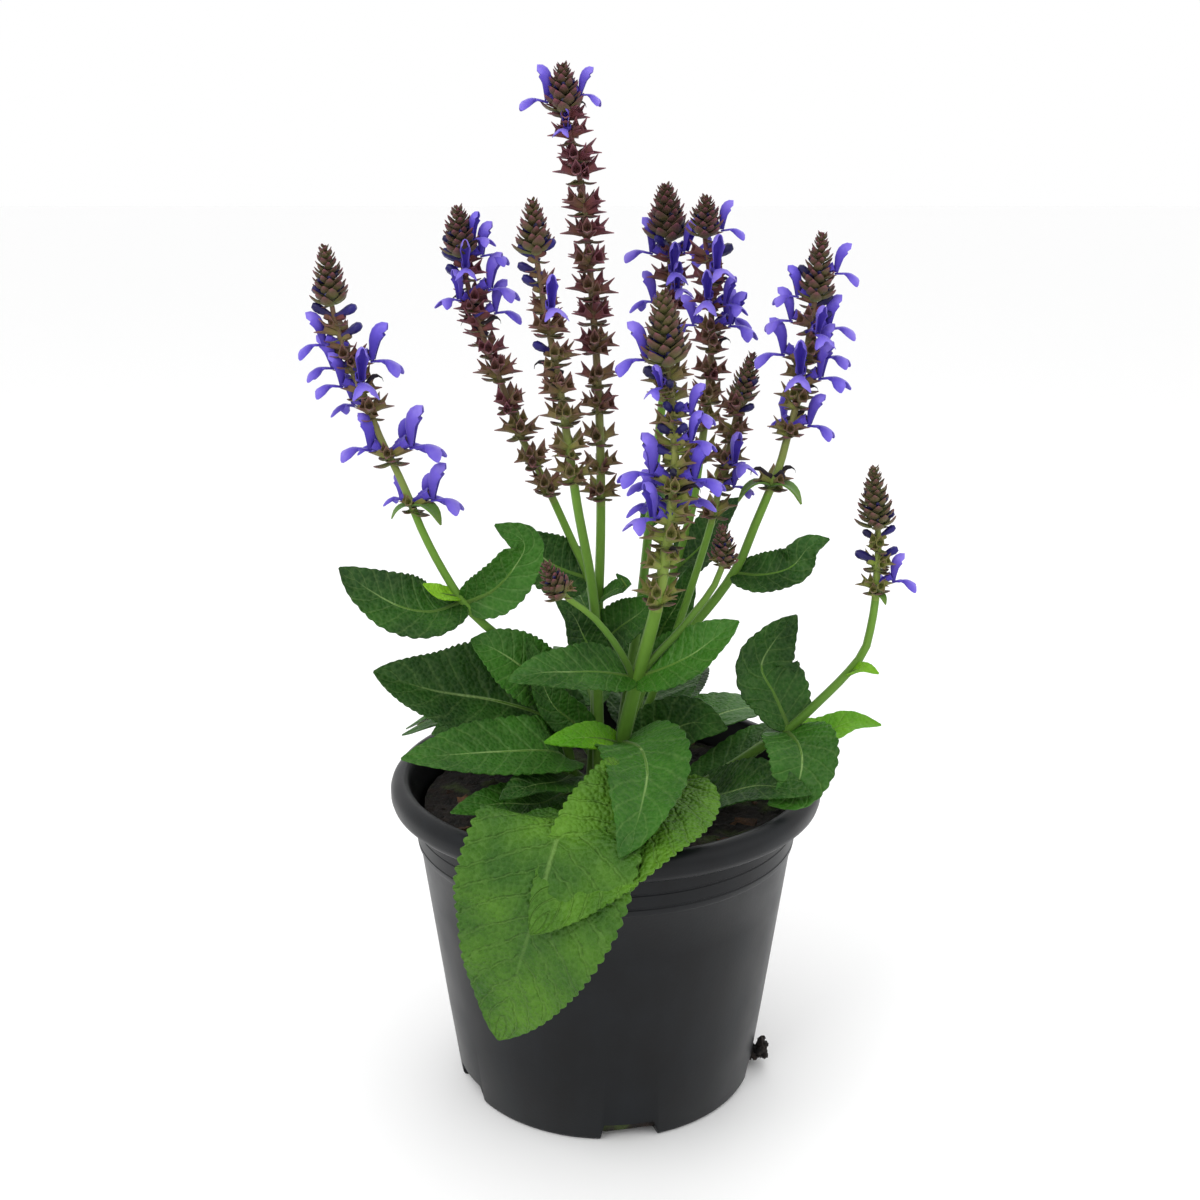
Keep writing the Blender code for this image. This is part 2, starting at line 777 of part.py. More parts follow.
LEFT_INNER = Shoot(
    "stem_left_inner",
    [(-3, -6, 116), (-3, -6, 155), (-4, -10, 188), (-6, -16, 208), (-10, -22, 232), (-12, -24, 247),
     (-14, -24, 261), (-16, -24, 275), (-19, -24, 292), (-22, -24, 309), (-24, -24, 323), (-25, -22, 339)],
    2.4,
    240,
    [
        Leaf([(-4, -8, 171), (-8, -14, 182), (-12, -18, 192), (-18, -20, 198)], 7, (0.2, -1, 0.5), 0.3, 6),
        Leaf([(-3, -6, 138), (-12, -12, 148), (-20, -18, 158), (-25, -20, 172), (-29, -20, 184)],
             7, (0.6, -1, 0.2), 0.3, 7),
    ],
)
RIGHT_BACK = Shoot(
    "stem_right_back",
    [(3, 14, 108), (8, 24, 144), (14, 32, 183), (18, 38, 222), (22, 40, 262), (24, 40, 292),
     (24, 40, 318), (22, 38, 343)],
    2.3,
    262,
    [
        Leaf([(4, 16, 118), (14, 38, 132), (22, 58, 140), (30, 76, 138), (38, 96, 118)],
             18, (0, 0, 1), 0.2, 7, 0.2),
        Leaf([(9, 26, 148), (18, 34, 158), (27, 42, 166), (39, 48, 170)], 12, (0, -1, 0.7), 0.3, 7),
        Leaf([(8, 22, 140), (20, 36, 152), (34, 48, 158), (46, 58, 154)], 11, (0, 0, 1), 0.25, 6, 0.15),
        Leaf([(19, 38, 213), (24, 50, 222), (26, 62, 226)], 6, (0, 0, 1), 0.3, 6),
    ],
)
RIGHT_INNER = Shoot(
    "stem_right_inner",
    [(6, 10, 109), (13, 14, 148), (23, 18, 187), (32, 20, 219), (35, 20, 238), (38, 20, 265),
     (39, 20, 287), (38, 20, 309), (36, 20, 323), (36, 18, 339)],
    2.2,
    240,
    [
        Leaf([(31, 18, 197), (37, 16, 210), (43, 14, 221), (50, 12, 229)], 8, (-0.5, -1, 0.5), 0.3, 7),
        Leaf([(18, 16, 168), (22, 8, 180), (28, 4, 192), (32, 2, 206)], 7, (0.3, -1, 0.3), 0.3, 6),
        Leaf([(8, 11, 118), (28, 22, 128.5), (48, 34, 135), (66, 44, 132.5), (84, 54, 116)],
             15, (0, 0, 1), 0.2, 7, 0.2),
    ],
)
FRONT = Shoot(
    "stem_front",
    [(2, -18, 119), (5, -24, 140), (8, -28, 157), (11, -30, 171), (15, -34, 188), (18, -38, 203),
     (20, -40, 218), (22, -42, 236), (23, -42, 254), (22, -42, 271), (20, -42, 287), (19, -42, 299),
     (18, -40, 310)],
    3.3,
    199,
    [
        Leaf([(-2, -20, 120), (-9, -52, 130), (-15, -82, 137), (-22, -95, 118), (-30, -95, 90), (-37, -90, 62)],
             29, (-0.2, -0.9, 0.5), 0.12, 12, 0.28, 1.0),
        Leaf([(3, -20, 122), (14, -36, 130), (21, -53, 137), (17, -69, 141), (4, -84, 136), (-10, -94, 124),
              (-25, -101, 108)], 21, (0.0, -0.7, 1), 0.25, 10, 0.3, 0.6),
        Leaf([(7, -27, 146), (12, -45, 151), (14, -62, 149), (12, -78, 145), (9, -90, 140), (4, -98, 134)],
             15, (0, -0.7, 1), 0.3, 10, 0.0, 0.5),
        Leaf([(5, -26, 144), (-2, -33, 150), (-11, -38, 152), (-22, -42, 152)], 6, (0, -0.8, 1), 0.3, 6),
        Leaf([(9, -30, 173), (-2, -38, 177), (-12, -44, 179), (-23, -48, 180), (-34, -50, 178)],
             10, (0, -0.8, 1), 0.3, 7),
        Leaf([(11, -30, 172), (21, -36, 178), (30, -40, 184), (38, -42, 191), (46, -42, 197)],
             11, (0, -0.8, 1), 0.3, 7),
    ],
    [
        ([(10, -30, 168), (9, -31, 174), (5, -37, 184), (0, -42, 193), (-6, -46, 201), (-11, -48, 205),
          (-17, -48, 211), (-21, -48, 220)], 1.6, 206),
        ([(10, -30, 168), (13, -31, 175), (20, -33, 184), (26, -34, 191), (32, -34, 199), (37, -34, 206),
          (40, -34, 213), (41, -34, 220), (40, -34, 230)], 1.6, 213),
    ],
)
SMALL_RIGHT = Shoot(
    "stem_small_right",
    [(5, 2, 113), (17, 2, 152), (28, 0, 185), (37, -4, 217), (41, -6, 236), (44, -6, 250),
     (47, -6, 265), (50, -6, 276), (52, -6, 286)],
    1.9,
    222,
    [Leaf([(13, 0, 120), (21, -6, 139), (32, -12, 148), (45, -18, 148)], 14, (0, -1, 0.7), 0.3, 7)],
)
RIGHT_OUT = Shoot(
    "stem_right_out",
    [(4, -10, 117), (9, -12, 149), (18, -12, 170), (31, -12, 185), (42, -12, 199), (49, -12, 211),
     (53, -12, 222), (58, -12, 235), (62, -12, 246), (65, -12, 259), (68, -12, 271), (70, -12, 287),
     (72, -12, 301), (73, -12, 314), (74, -12, 328)],
    2.2,
    235,
    [
        Leaf([(48, -12, 205), (56, -18, 207), (66, -22, 211), (72, -24, 219), (79, -24, 222)],
             8, (0.2, -1, 0.9), 0.3, 7),
    ],
)
FAR_RIGHT = Shoot(
    "stem_far_right",
    [(29, -4, 114), (42, -6, 124), (55, -8, 134), (69, -10, 145), (80, -10, 156), (90, -10, 167),
     (96, -10, 176), (98, -10, 186), (99, -10, 195), (99, -10, 205), (99, -10, 218), (97, -10, 233),
     (96, -10, 246)],
    2.1,
    195,
    [
        Leaf([(68, -10, 147), (64, -4, 156), (59, 0, 166), (64, 2, 176), (72, 2, 186)],
             13, (0.4, -1, 0.3), 0.35, 8),
        Leaf([(70, -10, 143), (82, -4, 141), (94, 0, 144), (106, 2, 142)], 6, (0, -0.6, 1), 0.3, 6),
        Leaf([(68, -12, 144), (71, -24, 144), (71, -34, 139), (67, -40, 131), (58, -44, 129)],
             13, (0, -0.7, 1), 0.3, 7),
        Leaf([(29, -6, 114), (41, -20, 122), (56, -34, 132), (73, -46, 134)], 13, (0, -0.6, 1), 0.3, 7),
        Leaf([(31, -4, 116), (50, 6, 126), (68, 12, 134), (86, 14, 126)], 11, (0, 0, 1), 0.25, 7),
        Leaf([(90, -10, 167), (95, -16, 171), (100, -19, 170)], 3, (0, -0.6, 1), 0.3, 5),
    ],
)
LEFT_OUT = Shoot(
    "stem_left_out",
    [(-11, -6, 115), (-17, -10, 148), (-26, -14, 168), (-37, -16, 181), (-46, -18, 190), (-52, -18, 197),
     (-60, -18, 211), (-66, -18, 224), (-70, -18, 235), (-74, -18, 245), (-79, -18, 256), (-83, -18, 267),
     (-87, -18, 277), (-91, -18, 289), (-94, -18, 301), (-95, -18, 315), (-96, -18, 324)],
    2.2,
    229,
    [
        Leaf([(-13, -7, 131), (-20, -6, 146), (-40, -8, 155), (-65, -12, 161), (-86, -14, 169)],
             19, (0.1, -0.8, 0.7), 0.5, 10, 0.12, 0.8),
        Leaf([(-11, -6, 124), (-22, -4, 134), (-38, -6, 141), (-54, -8, 146), (-66, -8, 142)],
             12, (0, -0.6, 1), 0.3, 8, 0.1),
        Leaf([(-5, -12, 129), (-19, -26, 142), (-38, -36, 146), (-55, -44, 148), (-72, -50, 149)],
             13, (0, -0.7, 1), 0.3, 8, 0.15),
        Leaf([(-6, -14, 124), (-17, -30, 132), (-27, -46, 137), (-37, -58, 137)], 9, (0, -0.6, 1), 0.3, 6, 0.15),
        Leaf([(-8, -18, 119), (-24, -34, 125), (-38, -48, 131), (-54, -60, 133)], 9, (0, -0.6, 1), 0.3, 6, 0.2),
        Leaf([(-23, -13, 163), (-31, -20, 173), (-40, -22, 180), (-49, -22, 184)], 12, (0, -1, 0.8), 0.25, 8),
        Leaf([(-53, -18, 196), (-62, -24, 195), (-73, -28, 198), (-84, -30, 205), (-94, -30, 213)],
             12, (-0.2, -0.8, 0.8), 0.25, 8),
        Leaf([(-51, -18, 197), (-41, -22, 202), (-33, -24, 211), (-29, -26, 221), (-39, -28, 228)],
             9, (0.3, -1, 0.2), 0.3, 7),
        Leaf([(-54, -20, 198), (-59, -24, 202), (-65, -26, 206)], 3.5, (0, -0.8, 1), 0.3, 5),
        Leaf([(-12, -6, 126), (-34, 2, 136), (-56, 8, 142), (-80, 12, 134)], 12, (0, 0, 1), 0.2, 8, 0.15),
    ],
)
SHOOTS = [
    TALL_BACK, LEFT_MID, LEFT_INNER, RIGHT_BACK, RIGHT_INNER, FRONT, SMALL_RIGHT, RIGHT_OUT,
    FAR_RIGHT, LEFT_OUT,
]

SPIKES = [
    Spike("spike_tall_back", TALL_BACK, 0, (366, 6.5),
          [(230, 285, 10.8, 3, 6.5), (285, 350, 9.9, 4, 6.8), (350, 364, 6.9, 3, 6.0)],
          [(366, -85, "F", 1.0), (371, 82, "F", 0.8), (357, -20, "F", 0.7), (363, 70, "W", 0.9),
           (352, 95, "C", 1.0)]),
    Spike("spike_left_mid", LEFT_MID, 0, (318, 6.5),
          [(233, 282, 10.8, 4, 6.5), (284, 312, 8.8, 3, 6.3)],
          [(321, 62, "F", 0.8), (315, 82, "F", 1.0), (311, 5, "F", 0.9), (304, 75, "F", 1.1),
           (299, -50, "F", 0.9), (296, 100, "F", 1.0), (320, -88, "B", 0.75), (314, -92, "B", 0.9),
           (308, -88, "B", 0.9), (298, -92, "W", 1.0), (289, -88, "W", 1.0), (291, 88, "W", 0.9)]),
    Spike("spike_left_inner", LEFT_INNER, 0, (320, 6.2),
          [(244, 300, 9.9, 4, 6.5), (302, 316, 7.6, 3, 5.5)],
          [(299, 15, "F", 1.0), (317, -88, "B", 0.8), (312, -92, "B", 0.8), (307, -86, "B", 0.8),
           (319, 70, "B", 0.8), (278, -75, "W", 1.0), (286, -70, "B", 0.8)]),
    Spike("spike_right_back", RIGHT_BACK, 0, (321, 8.0),
          [(266, 316, 10.1, 4, 6.5)],
          [(312, -90, "F", 1.1), (315, 48, "F", 1.1), (307, 8, "F", 1.0), (316, -42, "B", 0.9),
           (299, 22, "F", 0.9), (302, 60, "W", 0.8)]),
    Spike("spike_right_inner", RIGHT_INNER, 0, (324, 6.2),
          [(244, 288, 9.9, 3, 6.5), (290, 320, 8.8, 3, 6.3)],
          [(324, 86, "F", 0.9), (315, 82, "B", 1.0), (318, 60, "B", 0.7), (309, 15, "F", 1.1),
           (300, -12, "F", 1.0), (289, 62, "F", 1.1), (303, 95, "W", 0.9), (281, 85, "W", 0.9),
           (298, 50, "F", 0.9)]),
    Spike("spike_front", FRONT, 0, (285, 7.6),
          [(204, 240, 10.1, 4, 7.0), (242, 282, 7.7, 3, 6.5)],
          [(285, -85, "F", 1.1), (279, -78, "B", 1.0), (277, -40, "F", 0.7), (276, -8, "B", 0.7),
           (268, -30, "B", 0.75), (267, 22, "B", 0.75), (260, 32, "B", 0.75), (261, -52, "B", 0.8),
           (254, -82, "B", 0.9), (246, -5, "B", 0.7), (267, 70, "F", 0.9), (258, 62, "F", 0.9),
           (245, 72, "F", 1.1), (244, -80, "F", 1.2), (230, -52, "F", 1.1), (238, 82, "W", 1.2),
           (218, 42, "W", 0.9)]),
    Spike("spike_small_right", SMALL_RIGHT, 0, (268, 5.2),
          [(227, 266, 9.5, 4, 6.2)],
          [(243, 30, "F", 1.0), (270, 60, "B", 0.7), (262, 75, "B", 0.7), (236, 70, "F", 0.8)]),
    Spike("spike_right_out", RIGHT_OUT, 0, (304, 6.2),
          [(268, 302, 8.8, 3, 6.3), (257, 258, 6.4, 4, 5.5), (238, 239, 6.4, 4, 6.5)],
          [(311, 80, "F", 0.9), (309, -86, "B", 0.8), (303, -86, "F", 0.9), (295, -90, "F", 1.0),
           (283, -95, "F", 1.1), (299, 86, "B", 0.8), (295, 80, "B", 0.8), (291, 88, "F", 1.0),
           (281, 72, "F", 1.0), (274, 60, "F", 1.1), (291, 18, "F", 0.9), (276, -12, "F", 1.1),
           (268, 82, "W", 0.9), (258, 70, "F", 1.0), (261, 95, "W", 0.9), (239, -80, "W", 1.0),
           (239, 30, "W", 0.9), (239, 86, "W", 1.0)],
          [(237, -80, 12), (237, 60, 12)]),
    Spike("spike_far_right", FAR_RIGHT, 0, (222, 6.4),
          [(199, 220, 8.2, 4, 5.6)],
          [(209, -86, "B", 0.9), (210, 86, "B", 0.8), (200, 82, "F", 0.9), (217, 84, "B", 0.7),
           (216, -84, "B", 0.7), (223, 80, "B", 0.65)],
          [(197, 30, 6)]),
    Spike("spike_left_out", LEFT_OUT, 0, (303, 6.2),
          [(266, 301, 8.8, 3, 6.3), (250, 251, 6.4, 3, 5.5), (231.5, 232, 6.4, 3, 5.0)],
          [(297, 80, "B", 0.85), (290, 82, "B", 0.85), (281, 85, "F", 1.15), (275, 18, "F", 1.1),
           (272, -80, "F", 1.0), (272, 88, "W", 1.0), (287, -86, "F", 1.0), (279, -95, "F", 1.0),
           (297, -84, "B", 0.85), (304, -80, "B", 0.7), (249, -82, "F", 1.1), (250, 80, "F", 1.25),
           (232, 80, "F", 1.15)],
          [(231, -70, 8), (231, 60, 12)]),
    Spike("spike_bud_left", FRONT, 1, (208, 5.4), [], [(209, -60, "C", 0.7), (209, 60, "C", 0.7)]),
    Spike("spike_bud_right", FRONT, 2, (215, 4.8), [], [(216, -70, "C", 0.6), (216, 70, "C", 0.6)]),
]


def main():
    """Builds every piece of the plant and its pot."""
    clear_scene()
    pot_plastic = material("pot_plastic", (0.028, 0.031, 0.034), 0.5)
    peat = material("peat", (0.02, 0.014, 0.01), 0.95)
    foliage = material("foliage", (0.09, 0.22, 0.03), 0.6)
    bloom = material("bloom", (0.13, 0.08, 0.45), 0.6)
    plot = Plot()
    pot = build_pot(pot_plastic)
    soil = build_soil(peat, SHOOTS)
    plot.add("pot", pot)
    plot.add("potting_soil", soil)
    stems = {}
    for shoot in SHOOTS:
        stems[shoot.name] = shoot.stem_pieces()
        for piece in stems[shoot.name]:
            plot.add(shoot.name, piece)
    rachises = {spike.name: spike.base() for spike in SPIKES}
    for name, rachis in rachises.items():
        plot.add(name, rachis)
    for shoot in SHOOTS:
        build_shoot(shoot, stems[shoot.name], plot, foliage)
    for spike in SPIKES:
        spike.build(rachises[spike.name], plot, bloom)


if __name__ == "__main__":
    main()
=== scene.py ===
"""Looks of the perennial salvia in its black nursery pot.

The tables of stems, leaves and flowers are in millimetres and are the same ones that the solids
are made from; everything in the scene is in metres, with +Z up and -Y towards the viewer.
"""

import logging
import math
import random
from collections.abc import Callable, Sequence
from dataclasses import dataclass, field
from enum import Enum

import bmesh
import bpy
from mathutils import Matrix, Vector, noise

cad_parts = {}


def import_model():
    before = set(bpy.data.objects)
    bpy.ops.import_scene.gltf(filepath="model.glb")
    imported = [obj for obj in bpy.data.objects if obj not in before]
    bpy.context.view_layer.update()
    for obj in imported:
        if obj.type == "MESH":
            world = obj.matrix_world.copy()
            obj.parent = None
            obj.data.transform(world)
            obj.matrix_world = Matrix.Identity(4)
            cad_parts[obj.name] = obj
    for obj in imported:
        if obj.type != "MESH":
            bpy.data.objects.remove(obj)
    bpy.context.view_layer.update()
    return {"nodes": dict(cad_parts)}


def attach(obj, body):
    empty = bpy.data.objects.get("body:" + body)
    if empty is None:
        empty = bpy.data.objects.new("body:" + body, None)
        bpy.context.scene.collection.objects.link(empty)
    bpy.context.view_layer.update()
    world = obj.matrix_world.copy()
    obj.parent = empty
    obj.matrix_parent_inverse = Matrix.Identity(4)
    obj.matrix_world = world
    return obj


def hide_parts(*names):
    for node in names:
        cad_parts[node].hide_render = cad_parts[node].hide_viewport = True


LOG = logging.getLogger("salvia")
MM = 0.001  # a millimetre in metres
GAP = 0.3  # between a stem's solid and the solid of the spike on it
SEED = 41
ROOT_DEPTH = 12.0  # how far a stem's foot stands below the first point of its table
FOOT_GAP = 1.3  # how far along its line a stem starts, clear of the bottom of its hole
SPIKE_TAPER = 0.72  # a stem's radius where its spike starts, against its radius at the foot
SOIL_Z = 111.0  # the top of the solid that holds the peat
STEM_SIDES = 12
FLAT_SHARE = 0.84  # how far a square stem's flat lies from its middle, against its radius
CORNER_SHARE = 1.26  # how far its rounded corner lies, against its flat
SMOOTH_STEM = 50.0  # faces of a stem that meet at less than this angle are shaded as one

Point = tuple[float, float, float]


# Small tools


def linear(hex_colour: str) -> tuple[float, float, float, float]:
    """Turns an sRGB hex colour such as "#4C7F22" to linear values.

    Args:
        hex_colour: The colour, with its leading hash.

    Returns:
        Red, green, blue and an alpha of 1.
    """
    parts = [int(hex_colour[i : i + 2], 16) / 255 for i in (1, 3, 5)]
    red, green, blue = (c / 12.92 if c <= 0.04045 else ((c + 0.055) / 1.055) ** 2.4 for c in parts)
    return (red, green, blue, 1.0)


def compass(degrees: float, radius: float, z: float) -> Vector:
    """A point round the pot: 0 degrees faces the viewer and 90 is +X."""
    a = math.radians(degrees)
    return Vector((radius * math.sin(a), -radius * math.cos(a), z))


def side_of(direction: Vector, hint: Vector) -> tuple[Vector, Vector]:
    """Finds two directions square to a line.

    Args:
        direction: The line's unit direction.
        hint: The way that the normal leans as far as it can.

    Returns:
        The side and the normal, both of length 1.
    """
    normal = hint - hint.dot(direction) * direction
    if normal.length < 1e-4:
        normal = direction.orthogonal()
    normal.normalize()
    return direction.cross(normal).normalized(), normal


class Route:
    """A smooth line through given points, read by its length in millimetres."""

    STEPS = 12

    def __init__(self, points: Sequence[Vector]) -> None:
        """Samples a Catmull-Rom curve through the points.

        Args:
            points: The given points, in millimetres.
        """
        ends = [2 * Vector(points[0]) - Vector(points[1])]
        ends += [Vector(p) for p in points]
        ends += [2 * Vector(points[-1]) - Vector(points[-2])]
        self.line: list[Vector] = []
        for a, b, c, d in zip(ends, ends[1:], ends[2:], ends[3:]):
            for step in range(self.STEPS):
                t = step / self.STEPS
                self.line.append(
                    0.5
                    * (
                        2 * b
                        + (c - a) * t
                        + (2 * a - 5 * b + 4 * c - d) * t * t
                        + (3 * b - a - 3 * c + d) * t**3
                    )
                )
        self.line.append(ends[-2].copy())
        self.at = [0.0]
        for a, b in zip(self.line, self.line[1:]):
            self.at.append(self.at[-1] + (b - a).length)
        self.length = self.at[-1]

    def point(self, s: float) -> Vector:
        """Reads the line.

        Args:
            s: The length from the line's start.

        Returns:
            The point there, or the nearer end where the line stops short of it.
        """
        s = min(max(s, 0.0), self.length)
        for i in range(1, len(self.at)):
            if self.at[i] >= s:
                share = (s - self.at[i - 1]) / max(self.at[i] - self.at[i - 1], 1e-9)
                return self.line[i - 1].lerp(self.line[i], share)
        return self.line[-1].copy()

    def tangent(self, s: float) -> Vector:
        """The unit direction at length s."""
        return (self.point(s + 0.5) - self.point(s - 0.5)).normalized()

    def length_at_height(self, z: float) -> float:
        """Finds a height on the line.

        Args:
            z: The height.

        Returns:
            The length at which the line first reaches it, or the whole length.
        """
        for s, point in zip(self.at, self.line):
            if point.z >= z:
                return s
        return self.length


def profile_route(*points: tuple[float, float]) -> Route:
    """A route in the plane that halves an organ, through points given as how far out and how high."""
    return Route([Vector((0, y, z)) for z, y in points])


class Bench:
    """Models one piece with Blender's own operators, from a primitive to a finished mesh."""

    def __init__(self, name: str) -> None:
        """Clears the selection and keeps the name for the piece that comes next."""
        bpy.ops.object.select_all(action="DESELECT")
        self.name = name

    def take(self) -> bpy.types.Object:
        """Names the primitive that was just added.

        Returns:
            That primitive.
        """
        made = bpy.context.object
        made.name = self.name
        made.data.name = self.name
        return made

    def prism(self, sides: int, radius: float, depth: float) -> None:
        """Adds a closed prism that stands on the origin.

        Args:
            sides: How many sides it has.
            radius: Its radius in millimetres.
            depth: Its height in millimetres.
        """
        bpy.ops.mesh.primitive_cylinder_add(
            vertices=sides, radius=radius * MM, depth=depth * MM, location=(0, 0, depth * MM / 2)
        )
        self.take()

    def lift_end(self, steps: Sequence[tuple[float, float, float, float]]) -> None:
        """Extrudes the end face that lies furthest up, once for each step.

        Args:
            steps: For each step the move along X, Y and Z in millimetres, and the scale.
        """
        bpy.ops.object.mode_set(mode="EDIT")
        bpy.ops.mesh.select_mode(type="FACE")
        bpy.ops.mesh.select_all(action="DESELECT")
        shape = bmesh.from_edit_mesh(bpy.context.object.data)
        shape.faces.ensure_lookup_table()
        top = max(shape.faces, key=lambda f: f.calc_center_median().z)
        top.select_set(True)
        bmesh.update_edit_mesh(bpy.context.object.data)
        for x, y, z, scale in steps:
            bpy.ops.mesh.extrude_region_move(
                TRANSFORM_OT_translate={"value": (x * MM, y * MM, z * MM)}
            )
            bpy.ops.transform.resize(value=(scale, scale, scale))

    def sink_end(self, rim: float, depth: float) -> None:
        """Insets the end face and sinks it, which leaves a hollow mouth.

        Args:
            rim: The wall's thickness in millimetres.
            depth: How deep the mouth is, in millimetres.
        """
        bpy.ops.mesh.inset(thickness=rim * MM)
        bpy.ops.mesh.extrude_region_move(TRANSFORM_OT_translate={"value": (0, 0, -depth * MM)})

    def move_where(self, pick: Callable[[Vector], bool], shift: Point) -> None:
        """Moves the points that a test picks.

        Args:
            pick: Takes a point in millimetres and says whether it moves.
            shift: The move in millimetres.
        """
        bpy.ops.mesh.select_mode(type="VERT")
        bpy.ops.mesh.select_all(action="DESELECT")
        shape = bmesh.from_edit_mesh(bpy.context.object.data)
        for v in shape.verts:
            if pick(v.co / MM):
                v.select_set(True)
        bmesh.update_edit_mesh(bpy.context.object.data)
        bpy.ops.transform.translate(value=tuple(c * MM for c in shift))

    def done(self, length: float) -> bpy.types.Object:
        """Leaves edit mode with every face pointing out and a UV map of the share along +Z.

        Args:
            length: The length in millimetres at which the share is 1.

        Returns:
            The finished piece.
        """
        bpy.ops.mesh.select_all(action="SELECT")
        bpy.ops.mesh.normals_make_consistent(inside=False)
        bpy.ops.object.mode_set(mode="OBJECT")
        made = bpy.context.object
        layer = made.data.uv_layers.active or made.data.uv_layers.new(name="UVMap")
        for loop in made.data.loops:
            share = made.data.vertices[loop.vertex_index].co.z / MM / length
            layer.data[loop.index].uv = (min(max(share, 0.0), 1.0), 0.5)
        return made

    def sheet(
        self, across: int, along: int, place: Callable[[float, float], Vector], thickness: float
    ) -> bpy.types.Object:
        """Shapes a grid into a petal, scale or leaf and gives it its thickness.

        Args:
            across: Faces from edge to edge.
            along: Faces from root to tip.
            place: Gives the point in millimetres for a share across, from -1 to 1, and along, 0 to 1.
            thickness: The finished thickness in millimetres.

        Returns:
            The finished sheet, with a UV map of the share along and the share across.
        """
        bpy.ops.mesh.primitive_grid_add(
            x_subdivisions=across, y_subdivisions=along, size=2, calc_uvs=True
        )
        made = self.take()
        shares = [(v.co.x, (v.co.y + 1) / 2) for v in made.data.vertices]
        for v, (u, t) in zip(made.data.vertices, shares):
            v.co = place(u, t) * MM
        layer = made.data.uv_layers.active.data
        for loop in made.data.loops:
            u, t = shares[loop.vertex_index]
            layer[loop.index].uv = (t, u * 0.5 + 0.5)
        solid = made.modifiers.new("thickness", "SOLIDIFY")
        solid.thickness = thickness * MM
        solid.offset = -1.0
        bpy.ops.object.modifier_apply(modifier="thickness")
        return made


def stamp(prototype: bpy.types.Object, place: Matrix, tone: float) -> bpy.types.Object:
    """Copies a prototype, with its own mesh, to its place.

    Args:
        prototype: The piece that was modelled once.
        place: The matrix that carries it to its place, in metres.
        tone: A number from 0 to 1 that its finish may read from the UV map named Tone.

    Returns:
        The copy, with its place in its mesh.
    """
    copy = prototype.copy()
    copy.data = prototype.data.copy()
    copy.name = "copy"
    bpy.context.scene.collection.objects.link(copy)
    copy.data.transform(place)
    tones = copy.data.uv_layers.new(name="Tone")
    for loop in copy.data.loops:
        tones.data[loop.index].uv = (tone, tone)
    copy.data.uv_layers.active_index = 0
    return copy


def place_of(root: Vector, out: Vector, up: Vector, scale: Point) -> Matrix:
    """The matrix that stands a prototype on a root point.

    Args:
        root: The point in millimetres.
        out: The way that the prototype's +Z goes.
        up: The way that its +Y leans.
        scale: Its scale along X, Y and Z.

    Returns:
        A matrix in metres.
    """
    side, normal = side_of(out, up)
    turn = Matrix((side, normal, out)).transposed().to_4x4()
    return Matrix.Translation(root * MM) @ turn @ Matrix.Diagonal((*scale, 1.0))


def joined(name: str, pieces: Sequence[bpy.types.Object]) -> bpy.types.Object:
    """Joins pieces into one, which keeps each one's faces as they are.

    Args:
        name: The name of what they become.
        pieces: The pieces, of which there is at least one.

    Returns:
        The joined piece.
    """
    bpy.ops.object.select_all(action="DESELECT")
    for piece in pieces:
        piece.select_set(True)
    bpy.context.view_layer.objects.active = pieces[0]
    if len(pieces) > 1:
        bpy.ops.object.join()
    made = bpy.context.view_layer.objects.active
    made.name = name
    made.data.name = name
    return made


def shaft(
    name: str, route: Route, lengths: Sequence[float], radii: Sequence[float]
) -> bpy.types.Object:
    """A slim stem along a route, with the rounded square section of the mint family.

    Args:
        name: The piece's name.
        route: The line that it follows, in millimetres.
        lengths: Where along the line its rings stand.
        radii: Each ring's half diagonal in millimetres.

    Returns:
        A closed mesh whose UV map holds the share along and round it.
    """
    Bench(name)
    bpy.ops.mesh.primitive_cylinder_add(vertices=STEM_SIDES, radius=1, depth=1, end_fill_type="NGON")
    made = bpy.context.object
    made.name = name
    bpy.ops.object.mode_set(mode="EDIT")
    bpy.ops.mesh.select_mode(type="FACE")
    bpy.ops.mesh.select_all(action="DESELECT")
    shape = bmesh.from_edit_mesh(made.data)
    for face in shape.faces:
        face.select_set(face.normal.z > 0.9)
    bmesh.update_edit_mesh(made.data)
    for _ in lengths[2:]:
        bpy.ops.mesh.extrude_region_move(TRANSFORM_OT_translate={"value": (0, 0, 1)})
    bpy.ops.object.mode_set(mode="OBJECT")
    section = []
    for k in range(STEM_SIDES):
        a = math.tau * k / STEM_SIDES
        square = 1.0 / max(abs(math.cos(a)), abs(math.sin(a)))
        section.append(FLAT_SHARE * min(square, CORNER_SHARE))
    towards_viewer = Vector((0.3, -1.0, 0.05))
    shares: list[tuple[float, float]] = []
    for v in made.data.vertices:
        level = min(range(len(lengths)), key=lambda n: abs(v.co.z + 0.5 - n))
        a = math.atan2(v.co.y, v.co.x) % math.tau
        k = round(a / math.tau * STEM_SIDES) % STEM_SIDES
        side, normal = side_of(route.tangent(lengths[level]), towards_viewer)
        around = section[k] * radii[level] * (math.cos(a) * side + math.sin(a) * normal)
        shares.append((level / (len(lengths) - 1), k / STEM_SIDES))
        v.co = (route.point(lengths[level]) + around) * MM
    layer = made.data.uv_layers.active or made.data.uv_layers.new(name="UVMap")
    for loop in made.data.loops:
        layer.data[loop.index].uv = shares[loop.vertex_index]
    outward(made)
    return made


def outward(piece: bpy.types.Object) -> None:
    """Turns every face of a closed mesh outwards.

    Args:
        piece: The mesh.
    """
    shape = bmesh.new()
    shape.from_mesh(piece.data)
    bmesh.ops.recalc_face_normals(shape, faces=shape.faces)
    shape.to_mesh(piece.data)
    shape.free()


